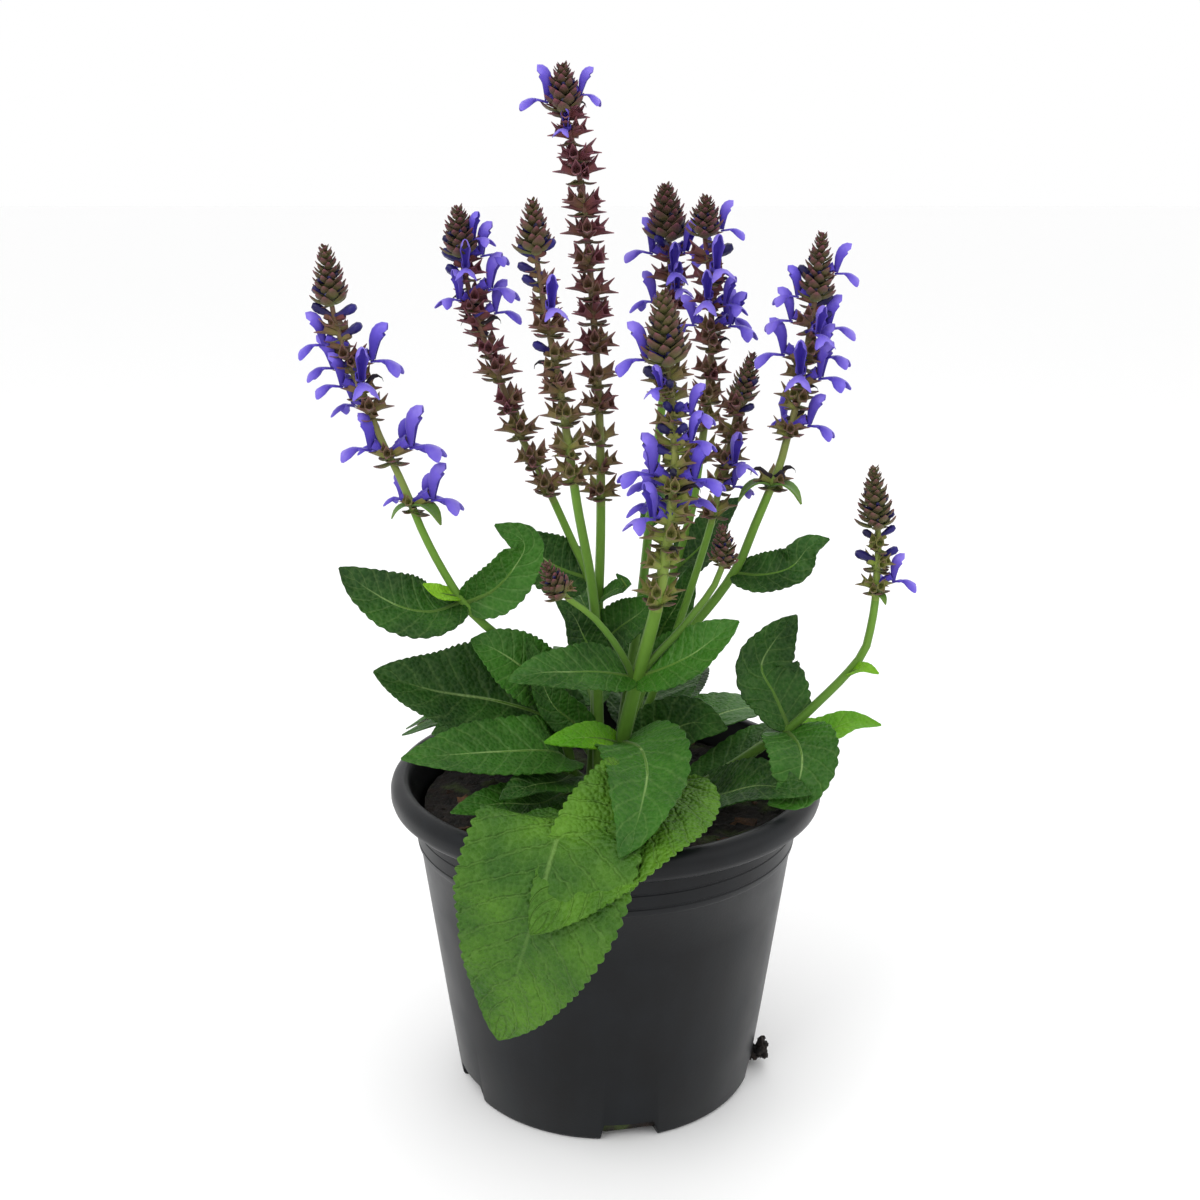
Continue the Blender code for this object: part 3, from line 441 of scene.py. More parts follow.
def stations(start: float, end: float, step: float) -> list[float]:
    """Evenly spaced lengths from start to end, about a step apart."""
    count = max(2, round((end - start) / step))
    return [start + (end - start) * i / count for i in range(count + 1)]


def tapered(lengths: Sequence[float], start_radius: float, end_radius: float) -> list[float]:
    """The radius at each length, from the first to the last."""
    span = lengths[-1] - lengths[0]
    return [start_radius + (end_radius - start_radius) * (s - lengths[0]) / span for s in lengths]


def smooth(piece: bpy.types.Object, degrees: float) -> None:
    """Shades a piece smooth where its faces meet at less than an angle.

    Args:
        piece: The piece.
        degrees: The angle.
    """
    bpy.ops.object.select_all(action="DESELECT")
    piece.select_set(True)
    bpy.context.view_layer.objects.active = piece
    bpy.ops.object.shade_smooth_by_angle(angle=math.radians(degrees))


def toned(piece: bpy.types.Object, tone: float) -> bpy.types.Object:
    """Adds the UV map named Tone, the same all over.

    Args:
        piece: The piece, which has one UV map.
        tone: The number that its finish reads, from 0 to 1.

    Returns:
        The same piece, with its first map named UVMap.
    """
    layer = piece.data.uv_layers.new(name="Tone")
    for loop in piece.data.loops:
        layer.data[loop.index].uv = (tone, tone)
    piece.data.uv_layers[0].name = "UVMap"
    piece.data.uv_layers.active_index = 0
    return piece


def coat(piece: bpy.types.Object, material: bpy.types.Material) -> None:
    """Gives a piece one material all over.

    Args:
        piece: The piece.
        material: Its finish.
    """
    piece.data.materials.clear()
    piece.data.materials.append(material)
    for polygon in piece.data.polygons:
        polygon.material_index = 0


def finish_piece(piece: bpy.types.Object, material: bpy.types.Material, node: str) -> None:
    """Gives a finished piece its material and ties it to the solid that it stands for.

    Args:
        piece: The finished piece.
        material: Its finish.
        node: The solid that it replaces.
    """
    coat(piece, material)
    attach(piece, "root")
    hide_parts(node)
    LOG.info("%s: %d faces for %s", piece.name, len(piece.data.polygons), node)


# Finishes


@dataclass
class NodeBoard:
    """A material's node tree, with the one helper that adds to it."""

    material: bpy.types.Material

    def wire(self, node: bpy.types.Node, **links: object) -> None:
        """Feeds the inputs of a node.

        Args:
            node: The node.
            **links: For an input's name, with underscores for its spaces, or for its number
                after "in", the socket that it is linked to or the value that it is set to.
        """
        for key, value in links.items():
            number = key.removeprefix("in")
            socket = node.inputs[int(number) if number.isdigit() else key.replace("_", " ")]
            if isinstance(value, bpy.types.NodeSocket):
                self.material.node_tree.links.new(value, socket)
            else:
                socket.default_value = value

    def add(self, kind: str, settings: dict | None = None, **links: object) -> bpy.types.Node:
        """Adds a node with its settings and links.

        Args:
            kind: The node's Blender type name, after the words ShaderNode.
            settings: Attributes of the node, values of its inputs by name, or the stops of its
                colour run from low to high, each a place and an sRGB hex colour.
            **links: What is fed to its inputs, as for wire.

        Returns:
            The new node.
        """
        node = self.material.node_tree.nodes.new(f"ShaderNode{kind}")
        for key, value in (settings or {}).items():
            if key == "stops":
                run = node.color_ramp.elements
                while len(run) < len(value):
                    run.new(0.5)
                for element, (place, colour) in zip(run, value):
                    element.position = place
                    element.color = linear(colour)
            elif key in node.inputs:
                node.inputs[key].default_value = value
            else:
                setattr(node, key, value)
        self.wire(node, **links)
        return node


def new_board(name: str) -> tuple[NodeBoard, bpy.types.Node]:
    """Starts a material.

    Args:
        name: The material's name.

    Returns:
        Its board and its Principled shader.
    """
    material = bpy.data.materials.new(name)
    material.use_nodes = True
    return NodeBoard(material), material.node_tree.nodes["Principled BSDF"]


def per_metre(size_mm: float) -> float:
    """A pattern's scale: how often a size in millimetres fits in a metre."""
    return 1 / (size_mm * MM)


@dataclass(frozen=True)
class PotPlastic:
    """Recycled polypropylene, injection moulded and matt: charcoal, with a soft vertical sheen painted into
    its colour as lighter streaks.
    """

    colour: str = "#07080B"
    # The lighter charcoal is partly painted sheen and partly scuffed wear: it shows where the painted sheen
    # streaks meet the scuffs.
    sheen_and_scuff: str = "#12161A"
    least_rough: float = 0.28
    most_rough: float = 0.48
    specular: float = 0.22
    # streak_mm and the squeeze below size the painted sheen streaks in the colour.
    streak_mm: float = 14.0
    sheen_squeeze: float = 0.12
    scuff_mm: float = 16.7
    grain_mm: float = 0.9
    grain_depth_mm: float = 0.2

    def make(self) -> bpy.types.Material:
        """Builds the material.

        Returns:
            The material.
        """
        board, shader = new_board("pot_polypropylene")
        where = board.add("TexCoord").outputs["Object"]
        # Noise stretched up the wall paints a soft vertical sheen into the colour: lighter streaks of painted
        # highlight, as moulded plastic shows under light.
        upright = board.add("Mapping", {"Scale": (1.0, 1.0, self.sheen_squeeze)}, Vector=where)
        painted_sheen = board.add(
            "TexNoise", {"Scale": per_metre(self.streak_mm), "Detail": 3.0}, Vector=upright.outputs[0]
        )
        # Scuffs, where pots have rubbed together, are duller; the colour turns a shade lighter only where a
        # scuff meets a painted sheen streak.
        scuffs = board.add(
            "TexNoise", {"Scale": per_metre(self.scuff_mm), "Detail": 6.0}, Vector=where
        ).outputs["Fac"]
        # Painted sheen times scuffs picks where the colour is painted the lighter charcoal.
        sheen_on_scuffs = board.add("Math", {"operation": "MULTIPLY"}, in0=painted_sheen.outputs["Fac"], in1=scuffs)
        colour = board.add(
            "ValToRGB", {"stops": [(0.12, self.colour), (0.5, self.sheen_and_scuff)]}, Fac=sheen_on_scuffs.outputs[0]
        )
        rough = board.add(
            "MapRange", {"To Min": self.least_rough, "To Max": self.most_rough}, Value=scuffs
        )
        # A fine grain breaks up the highlight, so that the wall looks satin and not glossy.
        grain = board.add("TexNoise", {"Scale": per_metre(self.grain_mm), "Detail": 2.0}, Vector=where)
        bump = board.add(
            "Bump", {"Strength": 0.12, "Distance": self.grain_depth_mm * MM}, Height=grain.outputs["Fac"]
        )
        board.wire(
            shader, Base_Color=colour.outputs["Color"], Roughness=rough.outputs[0],
            Normal=bump.outputs[0], IOR=1.49, Specular_IOR_Level=self.specular,
        )
        return board.material


@dataclass(frozen=True)
class PeatCrumb:
    """Moist dark peat with fibres: almost black, with brown crumbs of about two millimetres."""

    dark: str = "#0E0B09"
    light: str = "#2C2018"
    moss: str = "#36421A"
    crumb_mm: float = 2.2
    fibre_mm: float = 4.17
    moss_mm: float = 16.0
    relief_mm: float = 1.2

    def make(self) -> bpy.types.Material:
        """Builds the material.

        Returns:
            The material.
        """
        board, shader = new_board("moist_peat")
        where = board.add("TexCoord").outputs["Object"]
        # Rounded cells give the loose, crumbly surface, and finer noise the fibres in it.
        cells = board.add("TexVoronoi", {"Scale": per_metre(self.crumb_mm)}, Vector=where)
        fibres = board.add(
            "TexNoise", {"Scale": per_metre(self.fibre_mm), "Detail": 8.0, "Roughness": 0.7}, Vector=where
        ).outputs["Fac"]
        earth = board.add("ValToRGB", {"stops": [(0.42, self.dark), (0.72, self.light)]}, Fac=fibres)
        # Patches of moss green show where the peat has stood wet.
        cover = board.add("TexNoise", {"Scale": per_metre(self.moss_mm), "Detail": 5.0}, Vector=where)
        grown = board.add("MapRange", {"From Min": 0.56, "From Max": 0.66}, Value=cover.outputs["Fac"])
        mixed = board.add(
            "Mix", {"data_type": "RGBA"}, in0=grown.outputs[0], in6=earth.outputs["Color"],
            in7=linear(self.moss),
        )
        high = board.add(
            "Math", {"operation": "MULTIPLY_ADD"}, in0=cells.outputs["Distance"], in1=0.6, in2=fibres
        )
        bump = board.add(
            "Bump", {"Strength": 0.9, "Distance": self.relief_mm * MM}, Height=high.outputs[0]
        )
        board.wire(shader, Base_Color=mixed.outputs[2], Normal=bump.outputs[0], Roughness=0.92)
        return board.material


@dataclass(frozen=True)
class BarkChip:
    """Composted pine bark: torn brown chips with a coarse, fibrous grain."""

    dark: str = "#2A1A10"
    light: str = "#6E4C30"
    grain_mm: float = 1.43
    patch_mm: float = 9.09
    relief_mm: float = 0.4

    def make(self) -> bpy.types.Material:
        """Builds the material.

        Returns:
            The material.
        """
        board, shader = new_board("pine_bark")
        where = board.add("TexCoord").outputs["Object"]
        # Bent noise looks like torn fibres, and broad patches set one chip off from the next.
        grain = board.add(
            "TexNoise", {"Scale": per_metre(self.grain_mm), "Detail": 4.0, "Distortion": 1.5}, Vector=where
        ).outputs["Fac"]
        patches = board.add("TexNoise", {"Scale": per_metre(self.patch_mm)}, Vector=where)
        both = board.add("Math", {"operation": "MULTIPLY"}, in0=grain, in1=patches.outputs["Fac"])
        colour = board.add(
            "ValToRGB", {"stops": [(0.14, self.dark), (0.42, self.light)]}, Fac=both.outputs[0]
        )
        bump = board.add("Bump", {"Strength": 0.6, "Distance": self.relief_mm * MM}, Height=grain)
        board.wire(shader, Base_Color=colour.outputs["Color"], Normal=bump.outputs[0], Roughness=0.85)
        return board.material


@dataclass(frozen=True)
class LeafSkin:
    """Living salvia leaf: matt, puckered between sunken veins, with a pale rib."""

    name: str
    dark: str
    light: str
    rib: str
    rib_share: float = 0.8
    vein_pairs: float = 9.0
    pucker: float = 0.5
    slant: float = 0.34
    unevenness: float = 0.05
    uneven_mm: float = 6.25
    pucker_mm: float = 1.5
    pucker_depth_mm: float = 0.8
    patch_mm: float = 22.2
    leaf_tone: float = 0.35
    vein_paleness: float = 0.07
    net_paleness: float = 0.05
    vein_sink: float = 0.7
    cell_sink: float = 1.3

    def make(self) -> bpy.types.Material:
        """Builds the material, whose pattern follows the leaf's own UV map.

        Returns:
            The material.
        """
        board, shader = new_board(self.name)
        uv = board.add("UVMap", {"uv_map": "UVMap"}).outputs[0]
        tone_map = board.add("UVMap", {"uv_map": "Tone"}).outputs[0]
        tone = board.add("SeparateXYZ", Vector=tone_map).outputs["X"]
        where = board.add("TexCoord").outputs["Object"]
        split = board.add("SeparateXYZ", Vector=uv)
        along = split.outputs["X"]
        centred = board.add("Math", {"operation": "SUBTRACT"}, in0=split.outputs["Y"], in1=0.5)
        off = board.add("Math", {"operation": "ABSOLUTE"}, in0=centred.outputs[0]).outputs[0]
        # The side veins are a wave along the blade, swept towards the tip and a little uneven.
        swept = board.add("Math", {"operation": "MULTIPLY_ADD"}, in0=off, in1=-self.slant, in2=along)
        uneven = board.add("TexNoise", {"Scale": per_metre(self.uneven_mm)}, Vector=where)
        shaken = board.add(
            "Math", {"operation": "MULTIPLY_ADD"}, in0=uneven.outputs["Fac"], in1=self.unevenness,
            in2=swept.outputs[0],
        )
        turns = board.add(
            "Math", {"operation": "MULTIPLY"}, in0=shaken.outputs[0], in1=math.tau * self.vein_pairs
        )
        wave = board.add("Math", {"operation": "COSINE"}, in0=turns.outputs[0]).outputs[0]
        side_vein = board.add("MapRange", {"From Min": 0.80, "From Max": 1.0}, Value=wave).outputs[0]
        # The midrib is a thin pale line that fades before the tip.
        line = board.add("MapRange", {"From Min": 0.020, "From Max": 0.006}, Value=off).outputs[0]
        fading = board.add("MapRange", {"From Min": 0.9, "From Max": 0.35}, Value=along).outputs[0]
        rib = board.add("Math", {"operation": "MULTIPLY"}, in0=line, in1=fading).outputs[0]
        # Small raised cells between sunken veins give the crinkled skin that a salvia leaf has.
        cells = board.add(
            "TexVoronoi",
            {"Scale": per_metre(self.pucker_mm), "feature": "SMOOTH_F1", "Smoothness": 0.35},
            Vector=where,
        ).outputs["Distance"]
        net = board.add("MapRange", {"From Min": 0.42, "From Max": 0.72}, Value=cells).outputs[0]
        # Broad patches and a tone for each leaf keep the foliage from looking like one flat green.
        patches = board.add(
            "TexNoise", {"Scale": per_metre(self.patch_mm), "Detail": 3.0}, Vector=where
        ).outputs["Fac"]
        shade = board.add(
            "Math", {"operation": "MULTIPLY_ADD"}, in0=tone, in1=self.leaf_tone, in2=patches
        )
        base = board.add(
            "ValToRGB", {"stops": [(0.38, self.dark), (0.85, self.light)]}, Fac=shade.outputs[0]
        )
        # Side veins and the net between them are only a touch paler than the skin; the rib is pale.
        faint = board.add("Math", {"operation": "MULTIPLY"}, in0=net, in1=self.net_paleness)
        pale = board.add(
            "Math", {"operation": "MULTIPLY_ADD"}, in0=side_vein, in1=self.vein_paleness,
            in2=faint.outputs[0],
        )
        strong = board.add("Math", {"operation": "MULTIPLY"}, in0=rib, in1=self.rib_share)
        most = board.add("Math", {"operation": "MAXIMUM"}, in0=pale.outputs[0], in1=strong.outputs[0])
        mixed = board.add(
            "Mix", {"data_type": "RGBA"}, in0=most.outputs[0], in6=base.outputs["Color"],
            in7=linear(self.rib),
        )
        veins = board.add("Math", {"operation": "MAXIMUM"}, in0=side_vein, in1=rib).outputs[0]
        sunk = board.add("Math", {"operation": "MULTIPLY"}, in0=veins, in1=-self.vein_sink).outputs[0]
        height = board.add(
            "Math", {"operation": "MULTIPLY_ADD"}, in0=cells, in1=-self.cell_sink, in2=sunk
        )
        bump = board.add(
            "Bump", {"Strength": self.pucker, "Distance": self.pucker_depth_mm * MM},
            Height=height.outputs[0],
        )
        # A little light passes through the blade, which softens the green at its edges.
        board.wire(
            shader, Base_Color=mixed.outputs[2], Normal=bump.outputs[0], Roughness=0.55,
            Specular_IOR_Level=0.25, Subsurface_Weight=0.06, Subsurface_Radius=(0.002, 0.004, 0.001),
        )
        return board.material


@dataclass(frozen=True)
class GrownSkin:
    """A plant skin whose colour runs from an organ's root to its tip and varies between organs.

    Used for stems, calyxes, petals, buds, dried flowers and bracts: matt, finely hairy, and
    streaked along their length.
    """

    name: str
    stops: tuple[tuple[float, str], ...]
    other: tuple[tuple[float, str], ...]
    roughness: float = 0.6
    sheen: float = 0.1
    subsurface: float = 0.1
    streak: float = 0.25
    streak_mm: float = 2.38
    hair_depth_mm: float = 0.2

    def make(self) -> bpy.types.Material:
        """Builds the material, which mixes two colour runs by each organ's tone.

        Returns:
            The material.
        """
        board, shader = new_board(self.name)
        uv = board.add("UVMap", {"uv_map": "UVMap"}).outputs[0]
        tone_map = board.add("UVMap", {"uv_map": "Tone"}).outputs[0]
        where = board.add("TexCoord").outputs["Object"]
        along = board.add("SeparateXYZ", Vector=uv).outputs["X"]
        tone = board.add("SeparateXYZ", Vector=tone_map).outputs["X"]
        # Noise pushes the colour run back and forth, which looks like the streaks of living tissue.
        grain = board.add(
            "TexNoise", {"Scale": per_metre(self.streak_mm), "Detail": 3.0}, Vector=where
        ).outputs["Fac"]
        shift = board.add(
            "Math", {"operation": "MULTIPLY_ADD"}, in0=grain, in1=self.streak, in2=-self.streak / 2
        ).outputs[0]
        place = board.add("Math", {"operation": "ADD"}, in0=along, in1=shift).outputs[0]
        runs = [
            board.add("ValToRGB", {"stops": stops}, Fac=place).outputs["Color"]
            for stops in (self.stops, self.other)
        ]
        mixed = board.add("Mix", {"data_type": "RGBA"}, in0=tone, in6=runs[0], in7=runs[1])
        # Real hairs are too fine to show, so the same noise as a low bump dulls the surface instead.
        bump = board.add("Bump", {"Strength": 0.3, "Distance": self.hair_depth_mm * MM}, Height=grain)
        board.wire(
            shader, Base_Color=mixed.outputs[2], Normal=bump.outputs[0], Roughness=self.roughness,
            Specular_IOR_Level=0.3, Sheen_Weight=self.sheen, Subsurface_Weight=self.subsurface,
            Subsurface_Radius=(0.002, 0.0015, 0.004),
        )
        return board.material


# Young stems are a fresh yellow-green that dulls a little with age.
STEM_GREEN = GrownSkin(
    "square_stem",
    ((0.0, "#446418"), (0.6, "#517A20"), (1.0, "#638A2A")),
    ((0.0, "#3C5818"), (0.6, "#4B6E20"), (1.0, "#586626")),
)
# The stem inside a spike turns from green to a dull red on its way up.
RACHIS_RED = GrownSkin(
    "flower_rachis",
    ((0.0, "#6E8437"), (0.35, "#66503A"), (1.0, "#6B3040")),
    ((0.0, "#7C9A3C"), (0.5, "#7D8A3C"), (1.0, "#5E4A38")),
)
# Calyxes whose flower has dropped are dusky red with paler lips, or a dull green low on the spike.
CALYX = GrownSkin(
    "spent_calyx",
    ((0.0, "#5C3C2A"), (0.3, "#6A3834"), (0.7, "#5E2C38"), (1.0, "#8A545C")),
    ((0.0, "#7C9A34"), (0.35, "#7E8C38"), (0.75, "#726A38"), (1.0, "#745848")),
    0.65,
)
# Petals are thin velvet, violet-blue, and some light passes through them; the colour run also paints them
# palest at the lips as a painted highlight of that light, and darkest at the root as painted shade inside the
# calyx.
PETAL = GrownSkin(
    "salvia_petal",
    ((0.0, "#3E2C92"), (0.3, "#523FAE"), (0.65, "#6855C2"), (1.0, "#8674D6")),
    ((0.0, "#281A7C"), (0.35, "#3626A2"), (0.75, "#4737BA"), (1.0, "#6050D0")),
    roughness=0.5,
    subsurface=0.2,
    streak=0.3,
)
# Closed buds are a near-black indigo with a faint shine.
BUD = GrownSkin(
    "closed_bud",
    ((0.0, "#3A2A40"), (0.4, "#130E34"), (1.0, "#0C0826")),
    ((0.0, "#3E2E6A"), (0.4, "#1C1460"), (1.0, "#231A76")),
    0.45,
    0.02,
)
# Dried flowers have lost their blue and look like charred paper.
DRIED = GrownSkin(
    "dried_flower",
    ((0.0, "#2A1E22"), (1.0, "#08060A")),
    ((0.0, "#241A30"), (1.0, "#0C0812")),
    0.7,
    0.03,
)
# The bracts of the closed head are olive at the root and dull red at the tip.
BRACT = GrownSkin(
    "head_bract",
    ((0.0, "#57562C"), (0.5, "#4E3E26"), (0.8, "#562E34"), (1.0, "#7A3E4A")),
    ((0.0, "#6A7A36"), (0.5, "#5E5A2E"), (0.8, "#56442E"), (1.0, "#6E4444")),
    0.62,
)
# Grown leaves are dark and matt, the big ones in front lighter and more crinkled, and the
# youngest a bright yellow-green.
DARK_LEAF = LeafSkin("shade_leaf", "#143806", "#306412", "#A0BE74")
FRESH_LEAF = LeafSkin("fresh_leaf", "#2C560E", "#58861C", "#86A85A", 0.35, 13.0, 0.95)
BRIGHT_LEAF = LeafSkin("young_leaf", "#4A8A0A", "#78AE1A", "#A8CC70", 0.5, 7.0)


# What grows where, in millimetres


class LeafTone(Enum):
    """How light a leaf is."""

    DARK = "dark"
    FRESH = "fresh"
    BRIGHT = "bright"


class Organ(Enum):
    """What grows on a spike."""

    CALYX = "calyx"
    FLOWER = "flower"
    BUD = "bud"
    WITHERED = "withered"
    BRACT = "bract"
    LEAFY = "leafy"


class SpikePiece(Enum):
    """The joined pieces of a spike, each named for its spike and for one of these."""

    CALYXES = "calyxes"
    PETALS = "petals"
    BUDS = "buds"
    DRIED = "dried"
    HEAD = "head"
    SCALES = "scales"
    LEAFY = "leafy"


# Short names for the tables of flowers
C, F, B, W = Organ.CALYX, Organ.FLOWER, Organ.BUD, Organ.WITHERED


def leaf_width(t: float) -> float:
    """The outline of a salvia leaf, from 0 to 1 to 0: broad near the base, long to the tip."""
    return 2.26 * (t + 0.015) ** 0.45 * max(1.0 - t, 0.0) ** 0.8


@dataclass
class LeafPlan:
    """One leaf: its rib's points, half width, the way its face looks, fold and finish.

    The stations set how closely the waves of its blade follow each other, the petiole is the
    share of its rib that is bare, and the wave is how high its edges ripple.
    """

    rib: Sequence[Point]
    half_width: float
    face: Point
    fold: float = 0.25
    stations: int = 11
    petiole: float = 0.0
    wave: float = 0.0
    tone: LeafTone = LeafTone.DARK


@dataclass
class ShootPlan:
    """A square green stem with its leaves.

    It may carry side shoots, each given as its points, its radius and the height of its spike.
    """

    name: str
    route: Sequence[Point]
    radius: float
    spike_z: float
    leaves: Sequence[LeafPlan]
    sides: Sequence[tuple[Sequence[Point], float, float]] = ()

    def lines(self) -> list[tuple[Route, float, float, float]]:
        """Lists the stems.

        Returns:
            Route, start, radius and spike start of the main stem and of each side shoot.
        """
        first = Vector(self.route[0])
        deep = [first - Vector((0, 0, ROOT_DEPTH + lower)) for lower in (2, 0)]
        trunk = Route([*deep, *[Vector(p) for p in self.route]])
        found = [(trunk, FOOT_GAP, self.radius, trunk.length_at_height(self.spike_z))]
        for points, radius, spike_z in self.sides:
            side = Route([Vector(p) for p in points])
            found.append((side, 0.0, radius, side.length_at_height(spike_z)))
        return found


@dataclass
class SpikePlan:
    """A flower spike: its closed head, its zones of whorls and what is placed on it one by one.

    The head is given as the height where it starts and the length of its bracts; a zone as its
    lowest and highest whorl, the step between whorls, the calyxes in a whorl and their length; a
    flower as its height, bearing, kind and size; and a leafy bract as its height, bearing and
    length. The green places its calyxes between red, at 0, and green, at 1.
    """

    name: str
    shoot: ShootPlan
    branch: int
    head: tuple[float, float]
    zones: Sequence[tuple[float, float, float, int, float]] = ()
    flowers: Sequence[tuple[float, float, Organ, float]] = ()
    bracts: Sequence[tuple[float, float, float]] = ()
    green: float = 0.3


TALL_BACK = ShootPlan(
    "stem_tall_back",
    [(-2, 8, 110), (-3, 8, 150), (-3, 8, 182), (-2, 6, 214), (-2, 4, 245), (-3, 4, 274),
     (-5, 4, 303), (-7, 4, 327), (-10, 2, 349), (-14, 0, 367), (-15, 0, 383)],
    2.5,
    226,
    [
        LeafPlan([(-2, 8, 120), (-14, 26, 134), (-24, 46, 140), (-34, 66, 138), (-46, 90, 116)],
             17, (0, 0, 1), 0.2, 7, 0.2),
        LeafPlan([(-3, 8, 140), (-8, 26, 152), (-12, 44, 158), (-14, 62, 152)], 11, (0, 0, 1), 0.25, 6, 0.15),
        LeafPlan([(-3, 8, 178), (-10, 22, 188), (-14, 34, 192)], 6, (0, 0, 1), 0.3, 6),
        LeafPlan([(-3, 8, 172), (5, 2, 181), (13, -4, 189), (18, -8, 197)], 9, (-0.3, -1, 0.6), 0.3, 7),
        LeafPlan([(-3, 6, 190), (3, -2, 197), (7, -7, 200), (4, -9, 205)], 4, (0, -1, 1), 0.3, 6),
    ],
)
LEFT_MID = ShootPlan(
    "stem_left_mid",
    [(-6, 0, 114), (-4, 4, 151), (-4, 4, 183), (-7, 4, 201), (-13, 4, 215), (-22, 2, 236),
     (-31, 2, 254), (-37, 2, 271), (-43, 2, 287), (-48, 2, 303), (-51, 2, 320), (-52, 0, 336)],
    2.2,
    228,
    [
        LeafPlan([(-5, 4, 200), (-17, 2, 204), (-26, 0, 211), (-34, -2, 220)], 11, (-0.4, -1, 0.8), 0.25, 7),
        LeafPlan([(-5, 2, 118), (-26, 14, 130), (-46, 24, 136), (-64, 32, 136), (-82, 40, 126)],
             15, (0, 0, 1), 0.2, 7, 0.2),
    ],
)
LEFT_INNER = ShootPlan(
    "stem_left_inner",
    [(-3, -6, 116), (-3, -6, 155), (-4, -10, 188), (-6, -16, 208), (-10, -22, 232), (-12, -24, 247),
     (-14, -24, 261), (-16, -24, 275), (-19, -24, 292), (-22, -24, 309), (-24, -24, 323), (-25, -22, 339)],
    2.4,
    240,
    [
        LeafPlan([(-4, -8, 171), (-8, -14, 182), (-12, -18, 192), (-18, -20, 198)],
             7, (0.2, -1, 0.5), 0.3, 6),
        LeafPlan([(-3, -6, 138), (-12, -12, 148), (-20, -18, 158), (-25, -20, 172), (-29, -20, 184)],
             7, (0.6, -1, 0.2), 0.3, 7),
    ],
)
RIGHT_BACK = ShootPlan(
    "stem_right_back",
    [(3, 14, 108), (8, 24, 144), (14, 32, 183), (18, 38, 222), (22, 40, 262), (24, 40, 292),
     (24, 40, 318), (22, 38, 343)],
    2.3,
    262,
    [
        LeafPlan([(4, 16, 118), (14, 38, 132), (22, 58, 140), (30, 76, 138), (38, 96, 118)],
             18, (0, 0, 1), 0.2, 7, 0.2),
        LeafPlan([(9, 26, 148), (18, 34, 158), (27, 42, 166), (39, 48, 170)], 12, (0, -1, 0.7), 0.3, 7),
        LeafPlan([(8, 22, 140), (20, 36, 152), (34, 48, 158), (46, 58, 154)], 11, (0, 0, 1), 0.25, 6, 0.15),
        LeafPlan([(19, 38, 213), (24, 50, 222), (26, 62, 226)], 6, (0, 0, 1), 0.3, 6),
    ],
)
RIGHT_INNER = ShootPlan(
    "stem_right_inner",
    [(6, 10, 109), (13, 14, 148), (23, 18, 187), (32, 20, 219), (35, 20, 238), (38, 20, 265),
     (39, 20, 287), (38, 20, 309), (36, 20, 323), (36, 18, 339)],
    2.2,
    240,
    [
        LeafPlan([(31, 18, 197), (37, 16, 210), (43, 14, 221), (50, 12, 229)], 8, (-0.5, -1, 0.5), 0.3, 7),
        LeafPlan([(18, 16, 168), (22, 8, 180), (28, 4, 192), (32, 2, 206)], 7, (0.3, -1, 0.3), 0.3, 6),
        LeafPlan([(8, 11, 118), (28, 22, 128.5), (48, 34, 135), (66, 44, 132.5), (84, 54, 116)],
             15, (0, 0, 1), 0.2, 7, 0.2),
    ],
)
FRONT = ShootPlan(
    "stem_front",
    [(2, -18, 119), (5, -24, 140), (8, -28, 157), (11, -30, 171), (15, -34, 188), (18, -38, 203),
     (20, -40, 218), (22, -42, 236), (23, -42, 254), (22, -42, 271), (20, -42, 287), (19, -42, 299),
     (18, -40, 310)],
    3.3,
    199,
    [
        LeafPlan([(-2, -20, 120), (-9, -52, 130), (-15, -82, 137), (-22, -95, 118), (-30, -95, 90),
              (-37, -90, 62)], 29, (-0.2, -0.9, 0.5), 0.12, 12, 0.28, 1.0, tone=LeafTone.FRESH),
        LeafPlan([(3, -20, 122), (14, -36, 130), (21, -53, 137), (17, -69, 141), (4, -84, 136),
              (-10, -94, 124), (-25, -101, 108)],
             21, (0.0, -0.7, 1), 0.25, 10, 0.3, 0.6, tone=LeafTone.FRESH),
        LeafPlan([(7, -27, 146), (12, -45, 151), (14, -62, 149), (12, -78, 145), (9, -90, 140),
              (4, -98, 134)], 15, (0, -0.7, 1), 0.3, 10, 0.0, 0.5),
        LeafPlan([(5, -26, 144), (-2, -33, 150), (-11, -38, 152), (-22, -42, 152)],
             6, (0, -0.8, 1), 0.3, 6, tone=LeafTone.BRIGHT),
        LeafPlan([(9, -30, 173), (-2, -38, 177), (-12, -44, 179), (-23, -48, 180), (-34, -50, 178)],
             10, (0, -0.8, 1), 0.3, 7),
        LeafPlan([(11, -30, 172), (21, -36, 178), (30, -40, 184), (38, -42, 191), (46, -42, 197)],
             11, (0, -0.8, 1), 0.3, 7),
    ],
    [
        ([(10, -30, 168), (9, -31, 174), (5, -37, 184), (0, -42, 193), (-6, -46, 201), (-11, -48, 205),
          (-17, -48, 211), (-21, -48, 220)], 1.6, 206),
        ([(10, -30, 168), (13, -31, 175), (20, -33, 184), (26, -34, 191), (32, -34, 199), (37, -34, 206),
          (40, -34, 213), (41, -34, 220), (40, -34, 230)], 1.6, 213),
    ],
)
SMALL_RIGHT = ShootPlan(
    "stem_small_right",
    [(5, 2, 113), (17, 2, 152), (28, 0, 185), (37, -4, 217), (41, -6, 236), (44, -6, 250),
     (47, -6, 265), (50, -6, 276), (52, -6, 286)],
    1.9,
    222,
    [
        LeafPlan([(13, 0, 120), (21, -6, 139), (32, -12, 148), (45, -18, 148)],
             14, (0, -1, 0.7), 0.3, 7),
    ],
)
